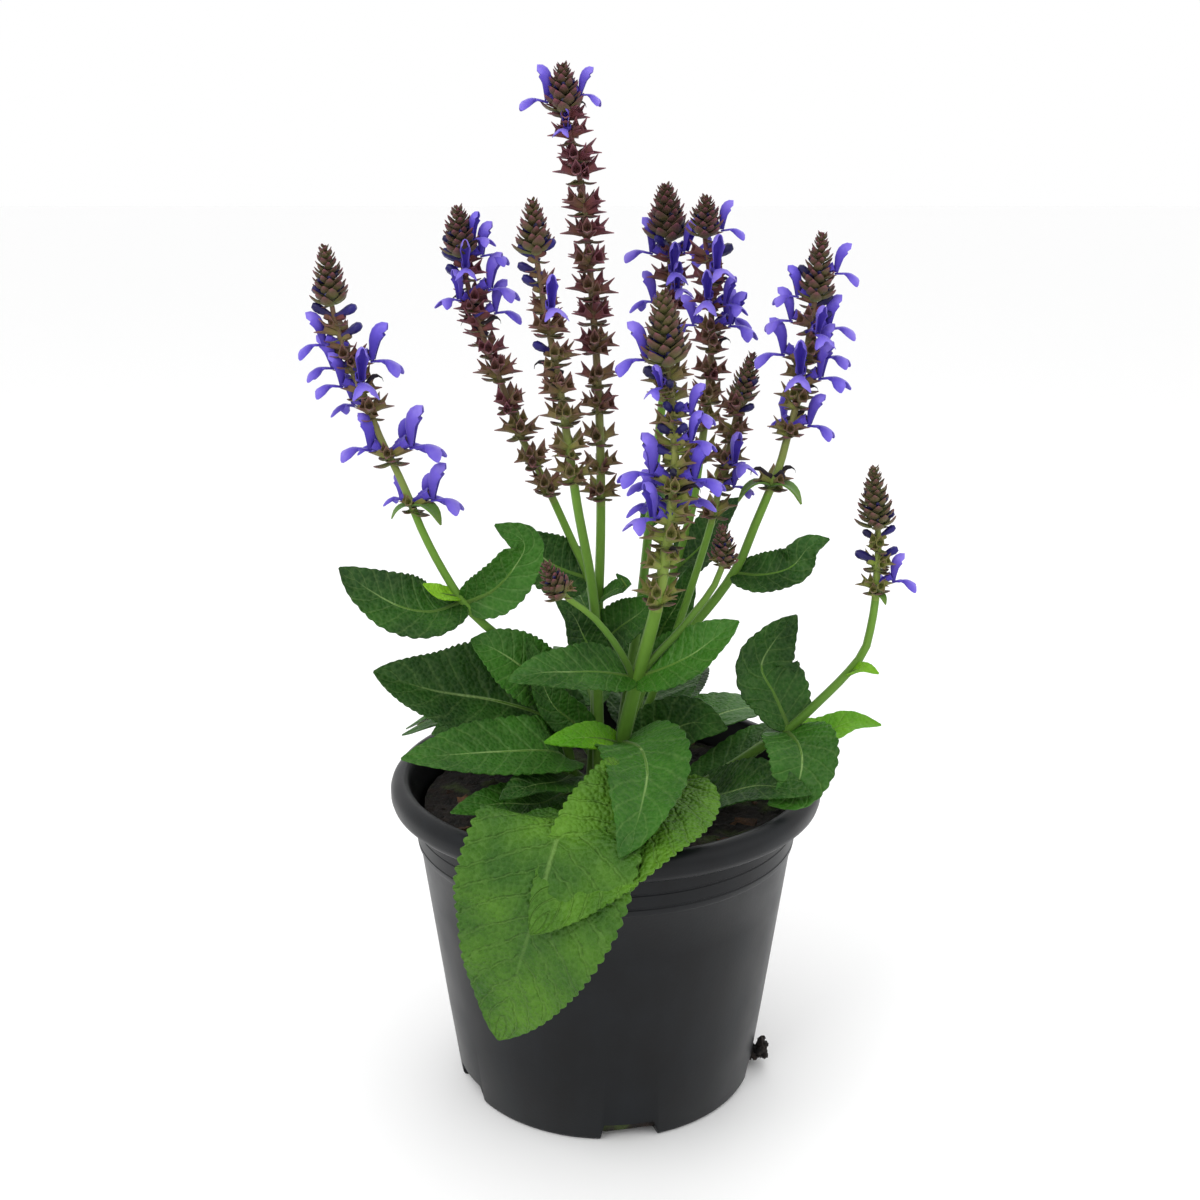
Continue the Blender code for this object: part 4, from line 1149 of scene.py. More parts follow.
RIGHT_OUT = ShootPlan(
    "stem_right_out",
    [(4, -10, 117), (9, -12, 149), (18, -12, 170), (31, -12, 185), (42, -12, 199), (49, -12, 211),
     (53, -12, 222), (58, -12, 235), (62, -12, 246), (65, -12, 259), (68, -12, 271), (70, -12, 287),
     (72, -12, 301), (73, -12, 314), (74, -12, 328)],
    2.2,
    235,
    [
        LeafPlan([(48, -12, 205), (56, -18, 207), (66, -22, 211), (72, -24, 219), (79, -24, 222)],
             8, (0.2, -1, 0.9), 0.3, 7),
    ],
)
FAR_RIGHT = ShootPlan(
    "stem_far_right",
    [(29, -4, 114), (42, -6, 124), (55, -8, 134), (69, -10, 145), (80, -10, 156), (90, -10, 167),
     (96, -10, 176), (98, -10, 186), (99, -10, 195), (99, -10, 205), (99, -10, 218), (97, -10, 233),
     (96, -10, 246)],
    2.1,
    195,
    [
        LeafPlan([(68, -10, 147), (64, -4, 156), (59, 0, 166), (64, 2, 176), (72, 2, 186)],
             13, (0.4, -1, 0.3), 0.35, 8),
        LeafPlan([(70, -10, 143), (82, -4, 141), (94, 0, 144), (106, 2, 142)],
             6, (0, -0.6, 1), 0.3, 6, tone=LeafTone.BRIGHT),
        LeafPlan([(68, -12, 144), (71, -24, 144), (71, -34, 139), (67, -40, 131), (58, -44, 129)],
             13, (0, -0.7, 1), 0.3, 7),
        LeafPlan([(29, -6, 114), (41, -20, 122), (56, -34, 132), (73, -46, 134)], 13, (0, -0.6, 1), 0.3, 7),
        LeafPlan([(31, -4, 116), (50, 6, 126), (68, 12, 134), (86, 14, 126)], 11, (0, 0, 1), 0.25, 7),
        LeafPlan([(90, -10, 167), (95, -16, 171), (100, -19, 170)],
             3, (0, -0.6, 1), 0.3, 5, tone=LeafTone.BRIGHT),
    ],
)
LEFT_OUT = ShootPlan(
    "stem_left_out",
    [(-11, -6, 115), (-17, -10, 148), (-26, -14, 168), (-37, -16, 181), (-46, -18, 190), (-52, -18, 197),
     (-60, -18, 211), (-66, -18, 224), (-70, -18, 235), (-74, -18, 245), (-79, -18, 256), (-83, -18, 267),
     (-87, -18, 277), (-91, -18, 289), (-94, -18, 301), (-95, -18, 315), (-96, -18, 324)],
    2.2,
    229,
    [
        LeafPlan([(-13, -7, 131), (-20, -6, 146), (-40, -8, 155), (-65, -12, 161), (-86, -14, 169)],
             19, (0.1, -0.8, 0.7), 0.5, 10, 0.12, 0.8),
        LeafPlan([(-11, -6, 124), (-22, -4, 134), (-38, -6, 141), (-54, -8, 146), (-66, -8, 142)],
             12, (0, -0.6, 1), 0.3, 8, 0.1),
        LeafPlan([(-5, -12, 129), (-19, -26, 142), (-38, -36, 146), (-55, -44, 148), (-72, -50, 149)],
             13, (0, -0.7, 1), 0.3, 8, 0.15),
        LeafPlan([(-6, -14, 124), (-17, -30, 132), (-27, -46, 137), (-37, -58, 137)],
             9, (0, -0.6, 1), 0.3, 6, 0.15),
        LeafPlan([(-8, -18, 119), (-24, -34, 125), (-38, -48, 131), (-54, -60, 133)],
             9, (0, -0.6, 1), 0.3, 6, 0.2),
        LeafPlan([(-23, -13, 163), (-31, -20, 173), (-40, -22, 180), (-49, -22, 184)],
             12, (0, -1, 0.8), 0.25, 8),
        LeafPlan([(-53, -18, 196), (-62, -24, 195), (-73, -28, 198), (-84, -30, 205), (-94, -30, 213)],
             12, (-0.2, -0.8, 0.8), 0.25, 8),
        LeafPlan([(-51, -18, 197), (-41, -22, 202), (-33, -24, 211), (-29, -26, 221), (-39, -28, 228)],
             9, (0.3, -1, 0.2), 0.3, 7),
        LeafPlan([(-54, -20, 198), (-59, -24, 202), (-65, -26, 206)],
             3.5, (0, -0.8, 1), 0.3, 5, tone=LeafTone.BRIGHT),
        LeafPlan([(-12, -6, 126), (-34, 2, 136), (-56, 8, 142), (-80, 12, 134)], 12, (0, 0, 1), 0.2, 8, 0.15),
    ],
)
SHOOTS = [
    TALL_BACK, LEFT_MID, LEFT_INNER, RIGHT_BACK, RIGHT_INNER, FRONT, SMALL_RIGHT, RIGHT_OUT,
    FAR_RIGHT, LEFT_OUT,
]

SPIKES = [
    SpikePlan("spike_tall_back", TALL_BACK, 0, (366, 6.5),
          [(230, 285, 10.8, 3, 6.5), (285, 350, 9.9, 4, 6.8), (350, 364, 6.9, 3, 6.0)],
          [(366, -85, F, 1.0), (371, 82, F, 0.8), (357, -20, F, 0.7), (363, 70, W, 0.9),
           (352, 95, C, 1.0)], green=0.1),
    SpikePlan("spike_left_mid", LEFT_MID, 0, (318, 6.5),
          [(233, 282, 10.8, 4, 6.5), (284, 312, 8.8, 3, 6.3)],
          [(321, 62, F, 0.8), (315, 82, F, 1.0), (311, 5, F, 0.9), (304, 75, F, 1.1),
           (299, -50, F, 0.9), (296, 100, F, 1.0), (320, -88, B, 0.75), (314, -92, B, 0.9),
           (308, -88, B, 0.9), (298, -92, W, 1.0), (289, -88, W, 1.0), (291, 88, W, 0.9)], green=0.1),
    SpikePlan("spike_left_inner", LEFT_INNER, 0, (320, 6.2),
          [(244, 300, 9.9, 4, 6.5), (302, 316, 7.6, 3, 5.5)],
          [(299, 15, F, 1.0), (317, -88, B, 0.8), (312, -92, B, 0.8), (307, -86, B, 0.8),
           (319, 70, B, 0.8), (278, -75, W, 1.0), (286, -70, B, 0.8)], green=0.3),
    SpikePlan("spike_right_back", RIGHT_BACK, 0, (321, 8.0),
          [(266, 316, 10.1, 4, 6.5)],
          [(312, -90, F, 1.1), (315, 48, F, 1.1), (307, 8, F, 1.0), (316, -42, B, 0.9),
           (299, 22, F, 0.9), (302, 60, W, 0.8)], green=0.15),
    SpikePlan("spike_right_inner", RIGHT_INNER, 0, (324, 6.2),
          [(244, 288, 9.9, 3, 6.5), (290, 320, 8.8, 3, 6.3)],
          [(324, 86, F, 0.9), (315, 82, B, 1.0), (318, 60, B, 0.7), (309, 15, F, 1.1),
           (300, -12, F, 1.0), (289, 62, F, 1.1), (303, 95, W, 0.9), (281, 85, W, 0.9),
           (298, 50, F, 0.9)], green=0.1),
    SpikePlan("spike_front", FRONT, 0, (285, 7.6),
          [(204, 240, 10.1, 4, 7.0), (242, 282, 7.7, 3, 6.5)],
          [(285, -85, F, 1.1), (279, -78, B, 1.0), (277, -40, F, 0.7), (276, -8, B, 0.7),
           (268, -30, B, 0.75), (267, 22, B, 0.75), (260, 32, B, 0.75), (261, -52, B, 0.8),
           (254, -82, B, 0.9), (246, -5, B, 0.7), (267, 70, F, 0.9), (258, 62, F, 0.9),
           (245, 72, F, 1.1), (244, -80, F, 1.2), (230, -52, F, 1.1), (238, 82, W, 1.2),
           (218, 42, W, 0.9)], green=0.75),
    SpikePlan("spike_small_right", SMALL_RIGHT, 0, (268, 5.2),
          [(227, 266, 9.5, 4, 6.2)],
          [(243, 30, F, 1.0), (270, 60, B, 0.7), (262, 75, B, 0.7), (236, 70, F, 0.8)], green=0.35),
    SpikePlan("spike_right_out", RIGHT_OUT, 0, (304, 6.2),
          [(268, 302, 8.8, 3, 6.3), (257, 258, 6.4, 4, 5.5), (238, 239, 6.4, 4, 6.5)],
          [(311, 80, F, 0.9), (309, -86, B, 0.8), (303, -86, F, 0.9), (295, -90, F, 1.0),
           (283, -95, F, 1.1), (299, 86, B, 0.8), (295, 80, B, 0.8), (291, 88, F, 1.0),
           (281, 72, F, 1.0), (274, 60, F, 1.1), (291, 18, F, 0.9), (276, -12, F, 1.1),
           (268, 82, W, 0.9), (258, 70, F, 1.0), (261, 95, W, 0.9), (239, -80, W, 1.0),
           (239, 30, W, 0.9), (239, 86, W, 1.0)],
          [(237, -80, 12), (237, 60, 12)], green=0.3),
    SpikePlan("spike_far_right", FAR_RIGHT, 0, (222, 6.4),
          [(199, 220, 8.2, 4, 5.6)],
          [(209, -86, B, 0.9), (210, 86, B, 0.8), (200, 82, F, 0.9), (217, 84, B, 0.7),
           (216, -84, B, 0.7), (223, 80, B, 0.65)],
          [(197, 30, 6)], green=0.8),
    SpikePlan("spike_left_out", LEFT_OUT, 0, (303, 6.2),
          [(266, 301, 8.8, 3, 6.3), (250, 251, 6.4, 3, 5.5), (231.5, 232, 6.4, 3, 5.0)],
          [(297, 80, B, 0.85), (290, 82, B, 0.85), (281, 85, F, 1.15), (275, 18, F, 1.1),
           (272, -80, F, 1.0), (272, 88, W, 1.0), (287, -86, F, 1.0), (279, -95, F, 1.0),
           (297, -84, B, 0.85), (304, -80, B, 0.7), (249, -82, F, 1.1), (250, 80, F, 1.25),
           (232, 80, F, 1.15)],
          [(231, -70, 8), (231, 60, 12)], green=0.35),
    SpikePlan("spike_bud_left", FRONT, 1, (208, 5.4), [],
          [(209, -60, C, 0.7), (209, 60, C, 0.7)], green=0.4),
    SpikePlan("spike_bud_right", FRONT, 2, (215, 4.8), [],
          [(216, -70, C, 0.6), (216, 70, C, 0.6)], green=0.4),
]


# The plant


def evenly(size: float) -> Point:
    """The same scale along all three axes."""
    return (size, size, size)


def rooted(rib: Sequence[Point], owner: ShootPlan) -> list[Vector]:
    """Roots a leaf's rib on its stem.

    Args:
        rib: The rib's points.
        owner: The shoot that the leaf grows from.

    Returns:
        The rib with its first point moved onto the nearest point of the owner's stems.
    """
    first = Vector(rib[0])
    best = None
    for route, _, _, end in owner.lines():
        for s, point in zip(route.at, route.line):
            if s < end - 2 and (best is None or (point - first).length < (best - first).length):
                best = point
    return [best, *[Vector(p) for p in rib[1:]]]


def turn_between(a: float, b: float) -> float:
    """The signed angle between two bearings, in degrees."""
    return (a - b + 180) % 360 - 180


@dataclass
class Greenhouse:
    """The finishes, each made once."""

    pot: bpy.types.Material = field(init=False)
    peat: bpy.types.Material = field(init=False)
    bark: bpy.types.Material = field(init=False)
    stem: bpy.types.Material = field(init=False)
    rachis: bpy.types.Material = field(init=False)
    spike: dict[SpikePiece, bpy.types.Material] = field(init=False)
    leaves: dict[LeafTone, bpy.types.Material] = field(init=False)

    def __post_init__(self) -> None:
        """Builds every material."""
        self.pot = PotPlastic().make()
        self.peat = PeatCrumb().make()
        self.bark = BarkChip().make()
        self.stem = STEM_GREEN.make()
        self.rachis = RACHIS_RED.make()
        bract = BRACT.make()
        self.spike = {
            SpikePiece.CALYXES: CALYX.make(),
            SpikePiece.PETALS: PETAL.make(),
            SpikePiece.BUDS: BUD.make(),
            SpikePiece.DRIED: DRIED.make(),
            SpikePiece.HEAD: bract,
            SpikePiece.SCALES: bract,
            SpikePiece.LEAFY: self.stem,
        }
        self.leaves = {
            LeafTone.DARK: DARK_LEAF.make(),
            LeafTone.FRESH: FRESH_LEAF.make(),
            LeafTone.BRIGHT: BRIGHT_LEAF.make(),
        }


@dataclass
class NurseryPot:
    """The moulded pot: tapered wall, ribbed collar, rolled lip and five drain notches."""

    height: float = 125.5
    lip_radius: float = 82.5
    lip_depth: float = 10.5
    collar_radius: float = 73.6
    collar_bottom: float = 99.0
    base_radius: float = 58.8
    wall: float = 1.4
    floor: float = 2.5
    steps: int = 144
    grooves: tuple[float, ...] = (101.8, 107.2)
    groove_depth: float = 0.22
    groove_reach: float = 0.45
    notches: int = 5
    notch_first: float = 8.4
    notch_height: float = 7.0
    notch_low: float = 11.8
    notch_high: float = 9.0
    notch_inner: float = 47.0
    smooth_below: float = 38.0

    def wall_radius(self, z: float) -> float:
        """The wall's outer radius below the collar."""
        return self.base_radius + (self.collar_radius - 1.6 - self.base_radius) * z / self.collar_bottom

    def groove(self, z: float) -> list[tuple[float, float]]:
        """Draws one fine groove round the collar.

        Args:
            z: The height of its middle.

        Returns:
            Its four points of radius and height, from below.
        """
        rim = self.collar_radius - 0.6 + (z - 99) * 0.035
        deep = rim - self.groove_depth
        reach = self.groove_reach
        return [(rim, z - reach), (deep, z - 0.2), (deep, z + 0.2), (rim, z + reach)]

    def profile(self) -> list[tuple[float, float]]:
        """Draws the section.

        Returns:
            Radius and height round it, from the base's middle to the floor's middle.
        """
        lip_z = self.height - self.lip_depth
        r, top, collar = self.lip_radius, self.height, self.collar_radius
        return [
            (self.base_radius - 2.0, 0), (self.base_radius - 0.7, 0.35), (self.base_radius, 1.6),
            *[(self.wall_radius(z), z) for z in (30, 60, 80, 98.4)],
            (collar - 1.2, 98.9), (collar - 0.8, 99.6),
            *[point for z in self.grooves for point in self.groove(z)],
            (collar, lip_z - 0.8), (collar + 0.9, lip_z),
            (r - 3.4, lip_z + 0.3), (r - 1.6, lip_z + 0.9), (r - 0.5, lip_z + 2.0), (r, lip_z + 3.6),
            (r, top - 4.2), (r - 0.5, top - 2.6), (r - 1.7, top - 1.1), (r - 3.4, top - 0.2), (r - 5.0, top),
            (r - 6.2, top - 0.5), (r - 7.1, top - 1.7), (r - 7.7, top - 4.0),
            (collar - self.wall, lip_z),
            *[(self.wall_radius(z) - self.wall, z) for z in (99, 50, self.floor)],
        ]

    def build(self) -> bpy.types.Object:
        """Spins the section round the axis and cuts the notches.

        Returns:
            The finished pot.
        """
        Bench("pot_shell")
        bpy.ops.mesh.primitive_plane_add(size=1 * MM, location=(0, 0, 0))
        pot = bpy.context.object
        pot.name = "pot_shell"
        bpy.ops.object.mode_set(mode="EDIT")
        bpy.ops.mesh.select_mode(type="VERT")
        bpy.ops.mesh.select_all(action="SELECT")
        bpy.ops.mesh.merge(type="CENTER")
        at = (0.0, 0.0)
        for radius, z in [*self.profile(), (0.0, self.floor)]:
            bpy.ops.mesh.extrude_vertices_move(
                TRANSFORM_OT_translate={"value": ((radius - at[0]) * MM, 0, (z - at[1]) * MM)}
            )
            at = (radius, z)
        bpy.ops.mesh.select_all(action="SELECT")
        bpy.ops.mesh.spin(steps=self.steps, angle=math.tau, center=(0, 0, 0), axis=(0, 0, 1))
        bpy.ops.mesh.select_all(action="SELECT")
        bpy.ops.mesh.remove_doubles(threshold=0.00002)
        bpy.ops.mesh.normals_make_consistent(inside=False)
        bpy.ops.object.mode_set(mode="OBJECT")
        for k in range(self.notches):
            self.cut_notch(pot, self.notch_first + 360 * k / self.notches)
        smooth(pot, self.smooth_below)
        return pot

    def cut_notch(self, pot: bpy.types.Object, middle: float) -> None:
        """Cuts one drain notch through the wall's foot.

        Args:
            pot: The spun shell.
            middle: The notch's bearing in degrees.
        """
        Bench("notch")
        bpy.ops.mesh.primitive_cube_add(size=2)
        cutter = bpy.context.object
        for v in cutter.data.vertices:
            radius = self.lip_radius if v.co.y > 0 else self.notch_inner
            low = v.co.z < 0
            spread = self.notch_low if low else self.notch_high
            turn = middle + (spread if v.co.x > 0 else -spread)
            v.co = compass(turn, radius, -3 if low else self.notch_height) * MM
        outward(cutter)
        cut = pot.modifiers.new("notch", "BOOLEAN")
        cut.operation = "DIFFERENCE"
        cut.solver = "EXACT"
        cut.object = cutter
        bpy.ops.object.select_all(action="DESELECT")
        bpy.context.view_layer.objects.active = pot
        bpy.ops.object.modifier_apply(modifier="notch")
        bpy.data.objects.remove(cutter)

    def dress(self, finishes: Greenhouse) -> None:
        """Builds the pot and gives it its finish."""
        finish_piece(self.build(), finishes.pot, "pot")


@dataclass
class SoilBed:
    """The peat that fills the pot: a crumbly top, loose crumbs, bark chips and the clump that
    has washed out of the right-hand notch."""

    radius: float = 70.0
    strewn_radius: float = 67.9
    above_solid: float = 0.9
    relief: float = 1.5
    clods_per_mm: float = 0.11
    thickness: float = 1.6
    crumbs: int = 420
    crumb_mm: tuple[float, float] = (1.6, 4.4)
    chips: int = 46
    chip_mm: tuple[float, float] = (4.0, 9.0)
    clump_bearing: float = 84.0
    clump_spread: float = 4.3
    clump_radii: tuple[float, float] = (56.5, 65.0)
    clump_wall: float = 60.0
    clump_crumbs: int = 70
    clump_crumb_mm: tuple[float, float] = (1.4, 3.2)

    def height(self, x: float, y: float) -> float:
        """The soil's height in millimetres above a point."""
        rough = noise.fractal(Vector((x, y, 3.0)) * self.clods_per_mm, 0.8, 2.1, 5)
        return SOIL_Z + self.above_solid + self.relief * rough

    def top(self) -> bpy.types.Object:
        """Makes the soil's surface.

        Returns:
            A disc with clods and pits.
        """

        def place(u: float, t: float) -> Vector:
            """Rolls the grid into a disc.

            Args:
                u: The share across, which becomes the bearing.
                t: The share along, which becomes the radius.

            Returns:
                The point in millimetres.
            """
            r = self.radius * max(t, 0.01)
            x, y = r * math.sin(math.pi * u), -r * math.cos(math.pi * u)
            return Vector((x, y, self.height(x, y)))

        return Bench("soil_top").sheet(150, 46, place, self.thickness)

    def crumb(self) -> bpy.types.Object:
        """Models a crumb.

        Returns:
            One rough clod, a millimetre across.
        """
        Bench("crumb")
        bpy.ops.mesh.primitive_ico_sphere_add(subdivisions=1, radius=0.5 * MM)
        made = bpy.context.object
        rng = random.Random(SEED)
        for v in made.data.vertices:
            v.co *= rng.uniform(0.72, 1.2)
        return made

    def chip(self) -> bpy.types.Object:
        """Models a bark chip.

        Returns:
            One torn chip, a millimetre long, flat and uneven.
        """
        Bench("chip")
        bpy.ops.mesh.primitive_cube_add(size=1 * MM)
        made = bpy.context.object
        bpy.ops.object.mode_set(mode="EDIT")
        bpy.ops.mesh.select_all(action="SELECT")
        bpy.ops.mesh.subdivide(number_cuts=1)
        bpy.ops.object.mode_set(mode="OBJECT")
        rng = random.Random(SEED + 1)
        wide, thick, torn = 0.55, 0.3, 0.09
        for v in made.data.vertices:
            v.co = Vector((v.co.x, v.co.y * wide, v.co.z * thick)) + Vector(
                [rng.uniform(-torn, torn) * MM for _ in range(3)]
            )
        return made

    def strewn(
        self, prototype: bpy.types.Object, count: int, raised: float, size_of: Callable[[], float],
        rng: random.Random,
    ) -> list[bpy.types.Object]:
        """Strews copies of a prototype over the soil.

        Args:
            prototype: The crumb or chip.
            count: How many copies lie there.
            raised: How far a copy's middle lies above the soil, as a share of its size.
            size_of: Draws the next copy's size in millimetres.
            rng: The random numbers.

        Returns:
            The copies.
        """
        copies = []
        for _ in range(count):
            r, a = self.strewn_radius * math.sqrt(rng.random()), rng.uniform(0, 360)
            spot = compass(a, r, 0)
            size = size_of()
            spot.z = self.height(spot.x, spot.y) + size * raised
            out = Vector((rng.uniform(-0.4, 0.4), rng.uniform(-0.4, 0.4), 1)).normalized()
            lean = Vector((rng.uniform(-1, 1), rng.uniform(-1, 1), 0.01))
            copies.append(stamp(prototype, place_of(spot, out, lean, evenly(size)), rng.random()))
        return copies

    def clump(self, crumb: bpy.types.Object, rng: random.Random) -> list[bpy.types.Object]:
        """Heaps crumbs over the clump at the notch.

        Args:
            crumb: The crumb's prototype.
            rng: The random numbers.

        Returns:
            The copies.
        """
        copies = []
        for _ in range(self.clump_crumbs):
            radius = rng.uniform(*self.clump_radii)
            bearing = self.clump_bearing + rng.uniform(-self.clump_spread, self.clump_spread)
            spot = compass(bearing, radius, 0)
            # The heap is low in the notch and highest just outside the wall.
            outside = max(0.0, (radius - self.clump_wall) / 5.0)
            spot.z = rng.uniform(2.6, 5.2 + 5.6 * min(outside, 0.9))
            size = rng.uniform(*self.clump_crumb_mm)
            out = Vector((rng.uniform(-1, 1), rng.uniform(-1, 1), rng.uniform(-1, 1))).normalized()
            copies.append(stamp(crumb, place_of(spot, out, Vector((0.3, 1, 0.2)), evenly(size)), 0.2))
        return copies

    def scatter(self) -> tuple[bpy.types.Object, bpy.types.Object]:
        """Strews crumbs and chips over the soil, and crumbs over the clump.

        Returns:
            All the crumbs as one piece, and all the chips as another.
        """
        rng = random.Random(SEED + 2)
        crumb, chip = self.crumb(), self.chip()
        crumbs = self.strewn(
            crumb, self.crumbs, 0.2, lambda: rng.uniform(*self.crumb_mm) * rng.uniform(0.6, 1.0), rng
        )
        chips = self.strewn(chip, self.chips, 0.06, lambda: rng.uniform(*self.chip_mm), rng)
        crumbs += self.clump(crumb, rng)
        for prototype in (crumb, chip):
            bpy.data.objects.remove(prototype)
        return joined("soil_crumbs", crumbs), joined("soil_bark", chips)

    def dress(self, finishes: Greenhouse, soil: bpy.types.Object) -> None:
        """Builds the pieces and gives them and the solid below them their finishes.

        Args:
            finishes: The finishes.
            soil: The soil's solid, which is shown itself.
        """
        soil.data.materials.clear()
        soil.data.materials.append(finishes.peat)
        crumbs, chips = self.scatter()
        for piece, finish in ((self.top(), finishes.peat), (crumbs, finishes.peat), (chips, finishes.bark)):
            coat(piece, finish)
            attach(piece, "root")
            LOG.info("%s: %d faces", piece.name, len(piece.data.polygons))


@dataclass
class OrganBench:
    """Prototypes of the organs, at size 1: root on the origin, +Z outwards and +Y up.

    A lobe is given as its half width, and as its middle and its spread along the lip from 0 to 1.
    """

    hood_half_width: float = 1.7
    hood_depth: float = 3.9
    hood_wrap: float = 1.5
    side_lobe: Point = (1.5, 0.32, 0.10)
    middle_lobe: Point = (4.0, 0.73, 0.275)
    petal_thickness: float = 0.2
    made: dict[Organ, list[bpy.types.Object]] = field(default_factory=dict)

    def build(self) -> None:
        """Models each organ once, in parts that share a finish."""
        self.made = {
            Organ.CALYX: [self.calyx("calyx", 8.0, 2.4)],
            Organ.FLOWER: [self.calyx("young_calyx", 6.4, 1.75), self.hood(), self.lip(), self.tube()],
            Organ.BUD: [self.calyx("bud_calyx", 5.8, 1.7), self.bud()],
            Organ.WITHERED: [self.calyx("old_calyx", 6.4, 2.2), self.hook()],
            Organ.BRACT: [self.scale()],
            Organ.LEAFY: [self.droop()],
        }

    def clear(self) -> None:
        """Removes the prototypes once every copy is made."""
        for parts in self.made.values():
            for part in parts:
                bpy.data.objects.remove(part)
        self.made = {}

    def calyx(self, name: str, length: float, mouth: float) -> bpy.types.Object:
        """A ribbed, two-lipped bell: one broad lip above and two sharp teeth below.

        Args:
            name: Its name.
            length: About how long it is, in millimetres.
            mouth: About how wide its mouth's radius is.

        Returns:
            The calyx.
        """
        bench = Bench(name)
        foot, belly, throat = 0.75, 1.7, 1.2
        bench.prism(6, foot, 0.5)
        bench.lift_end([
            (0, 0, 0.20 * length, belly), (0, 0.1, 0.28 * length, throat),
            (0, 0.1, 0.20 * length, 0.8 * mouth / (foot * belly * throat)),
        ])
        bench.sink_end(0.28, 0.34 * length)
        bpy.ops.transform.resize(value=evenly(0.55))
        reach = 0.5 + 0.64 * length
        lip = 0.52 * mouth
        bench.move_where(lambda p: p.z > reach and p.y > lip, (0, 0.40 * mouth, 0.36 * length))
        bench.move_where(lambda p: p.z > reach and p.y < -lip, (0, -0.32 * mouth, 0.38 * length))
        bench.move_where(lambda p: p.z > reach and abs(p.y) < lip, (0, 0, 0.03 * length))
        return bench.done(length + 1)

    def bud(self) -> bpy.types.Object:
        """Models a closed corolla.

        Returns:
            A club with a blunt, slightly raised tip.
        """
        bench = Bench("bud")
        bench.prism(6, 0.9, 3.0)
        bench.lift_end([(0, 0.1, 2.4, 1.7), (0, 0.25, 2.0, 1.28), (0, 0.25, 2.1, 1.0), (0, 0.1, 1.5, 0.55)])
        return bench.done(11.0)

    def hook(self) -> bpy.types.Object:
        """Models a shrivelled flower.

        Returns:
            A thin hook, curled down.
        """
        bench = Bench("hook")
        bench.prism(5, 0.8, 4.5)
        bench.lift_end([
            (0, 0.5, 1.8, 1.2), (0.3, 0.4, 1.6, 0.95), (0.4, -0.5, 1.5, 0.75), (0.2, -1.4, 0.8, 0.7),
            (-0.2, -1.2, -0.3, 0.6),
        ])
        return bench.done(11.0)

    def tube(self) -> bpy.types.Object:
        """Models the corolla tube between the calyx and the two lips.

        Returns:
            The tube, open at its mouth.
        """
        bench = Bench("tube")
        bench.prism(6, 0.9, 3.0)
        bench.lift_end([(0, 0.1, 2.2, 1.45), (0, 0.3, 1.9, 1.35)])
        bench.sink_end(0.3, 1.8)
        return bench.done(14.0)

    def hood(self) -> bpy.types.Object:
        """Models the upper lip.

        Returns:
            A sickle-shaped trough that rises and curls over.
        """
        spine = profile_route((5.4, 0.2), (6.6, 2.6), (7.6, 5.2), (9.4, 7.4), (11.8, 8.2), (13.8, 7.3))

        def place(u: float, t: float) -> Vector:
            """Bends the grid into a trough along the spine.

            Args:
                u: The share across.
                t: The share along.

            Returns:
                The point in millimetres.
            """
            s = spine.length * t
            ahead = spine.tangent(s)
            back = Vector((0, ahead.z, -ahead.y))
            full = math.sin(math.pi * (0.1 + 0.79 * t**1.7)) ** 0.7
            a = self.hood_wrap * u
            side = Vector((self.hood_half_width * full * math.sin(a), 0, 0))
            return spine.point(s) + side - back * (self.hood_depth * full * (1 - math.cos(a)))

        return Bench("hood").sheet(6, 8, place, self.petal_thickness)

    def lip(self) -> bpy.types.Object:
        """Models the lower lip.

        Returns:
            Two small side lobes and a broad, hollowed, notched middle one.
        """
        spine = profile_route((5.6, -0.4), (7.2, -0.8), (9.0, -1.3), (11.0, -2.2), (12.8, -4.4))
        side_width, side_at, side_spread = self.side_lobe
        middle_width, middle_at, middle_spread = self.middle_lobe

        def place(u: float, t: float) -> Vector:
            """Spreads the grid into three lobes.

            Args:
                u: The share across.
                t: The share along.

            Returns:
                The point in millimetres.
            """
            side_lobe = side_width * math.exp(-(((t - side_at) / side_spread) ** 2))
            middle = middle_width * math.sqrt(max(1 - ((t - middle_at) / middle_spread) ** 2, 0.0))
            width = 0.85 + max(side_lobe, middle)
            notch = 0.03 * (1 - abs(u)) * (t > 0.9)
            hollow = 0.5 + 3.6 * max(1 - ((t - 0.72) / 0.3) ** 2, 0.0)
            edge = Vector((width * u * (1 - 0.25 * u * u), -u * u * hollow, 0))
            return spine.point(spine.length * (t - notch)) + edge

        return Bench("lip").sheet(6, 11, place, self.petal_thickness)

    def scale(self) -> bpy.types.Object:
        """Models the bract of the head and of the whorls.

        Returns:
            A pointed scale one millimetre long, hollow inside.
        """
        half, bulge = 0.42, 0.35

        def place(u: float, t: float) -> Vector:
            """Draws the grid out to a point that turns outwards.

            Args:
                u: The share across.
                t: The share along.

            Returns:
                The point in millimetres.
            """
            width = max(half * math.sin(math.pi * min(0.18 + 0.82 * t, 1.0)) ** 0.7, 0.02)
            lift = bulge * math.sin(math.pi * (0.1 + 0.72 * t)) + 0.16 * t * t
            return Vector((width * u, lift - 0.28 * u * u * width, t))

        return Bench("scale").sheet(4, 5, place, 0.05)

    def droop(self) -> bpy.types.Object:
        """Models the leafy bract below a whorl.

        Returns:
            A small leaf one millimetre long, arched over.
        """
        spine = profile_route((0, 0), (0.4, 0.08), (0.75, -0.14), (0.92, -0.5))

        def place(u: float, t: float) -> Vector:
            """Folds the grid lightly along its rib."""
            width = max(0.3 * leaf_width(t), 0.02)
            return spine.point(spine.length * t) + Vector((width * u, 0.25 * abs(u) * width, 0))

        return Bench("droop").sheet(4, 8, place, 0.05)


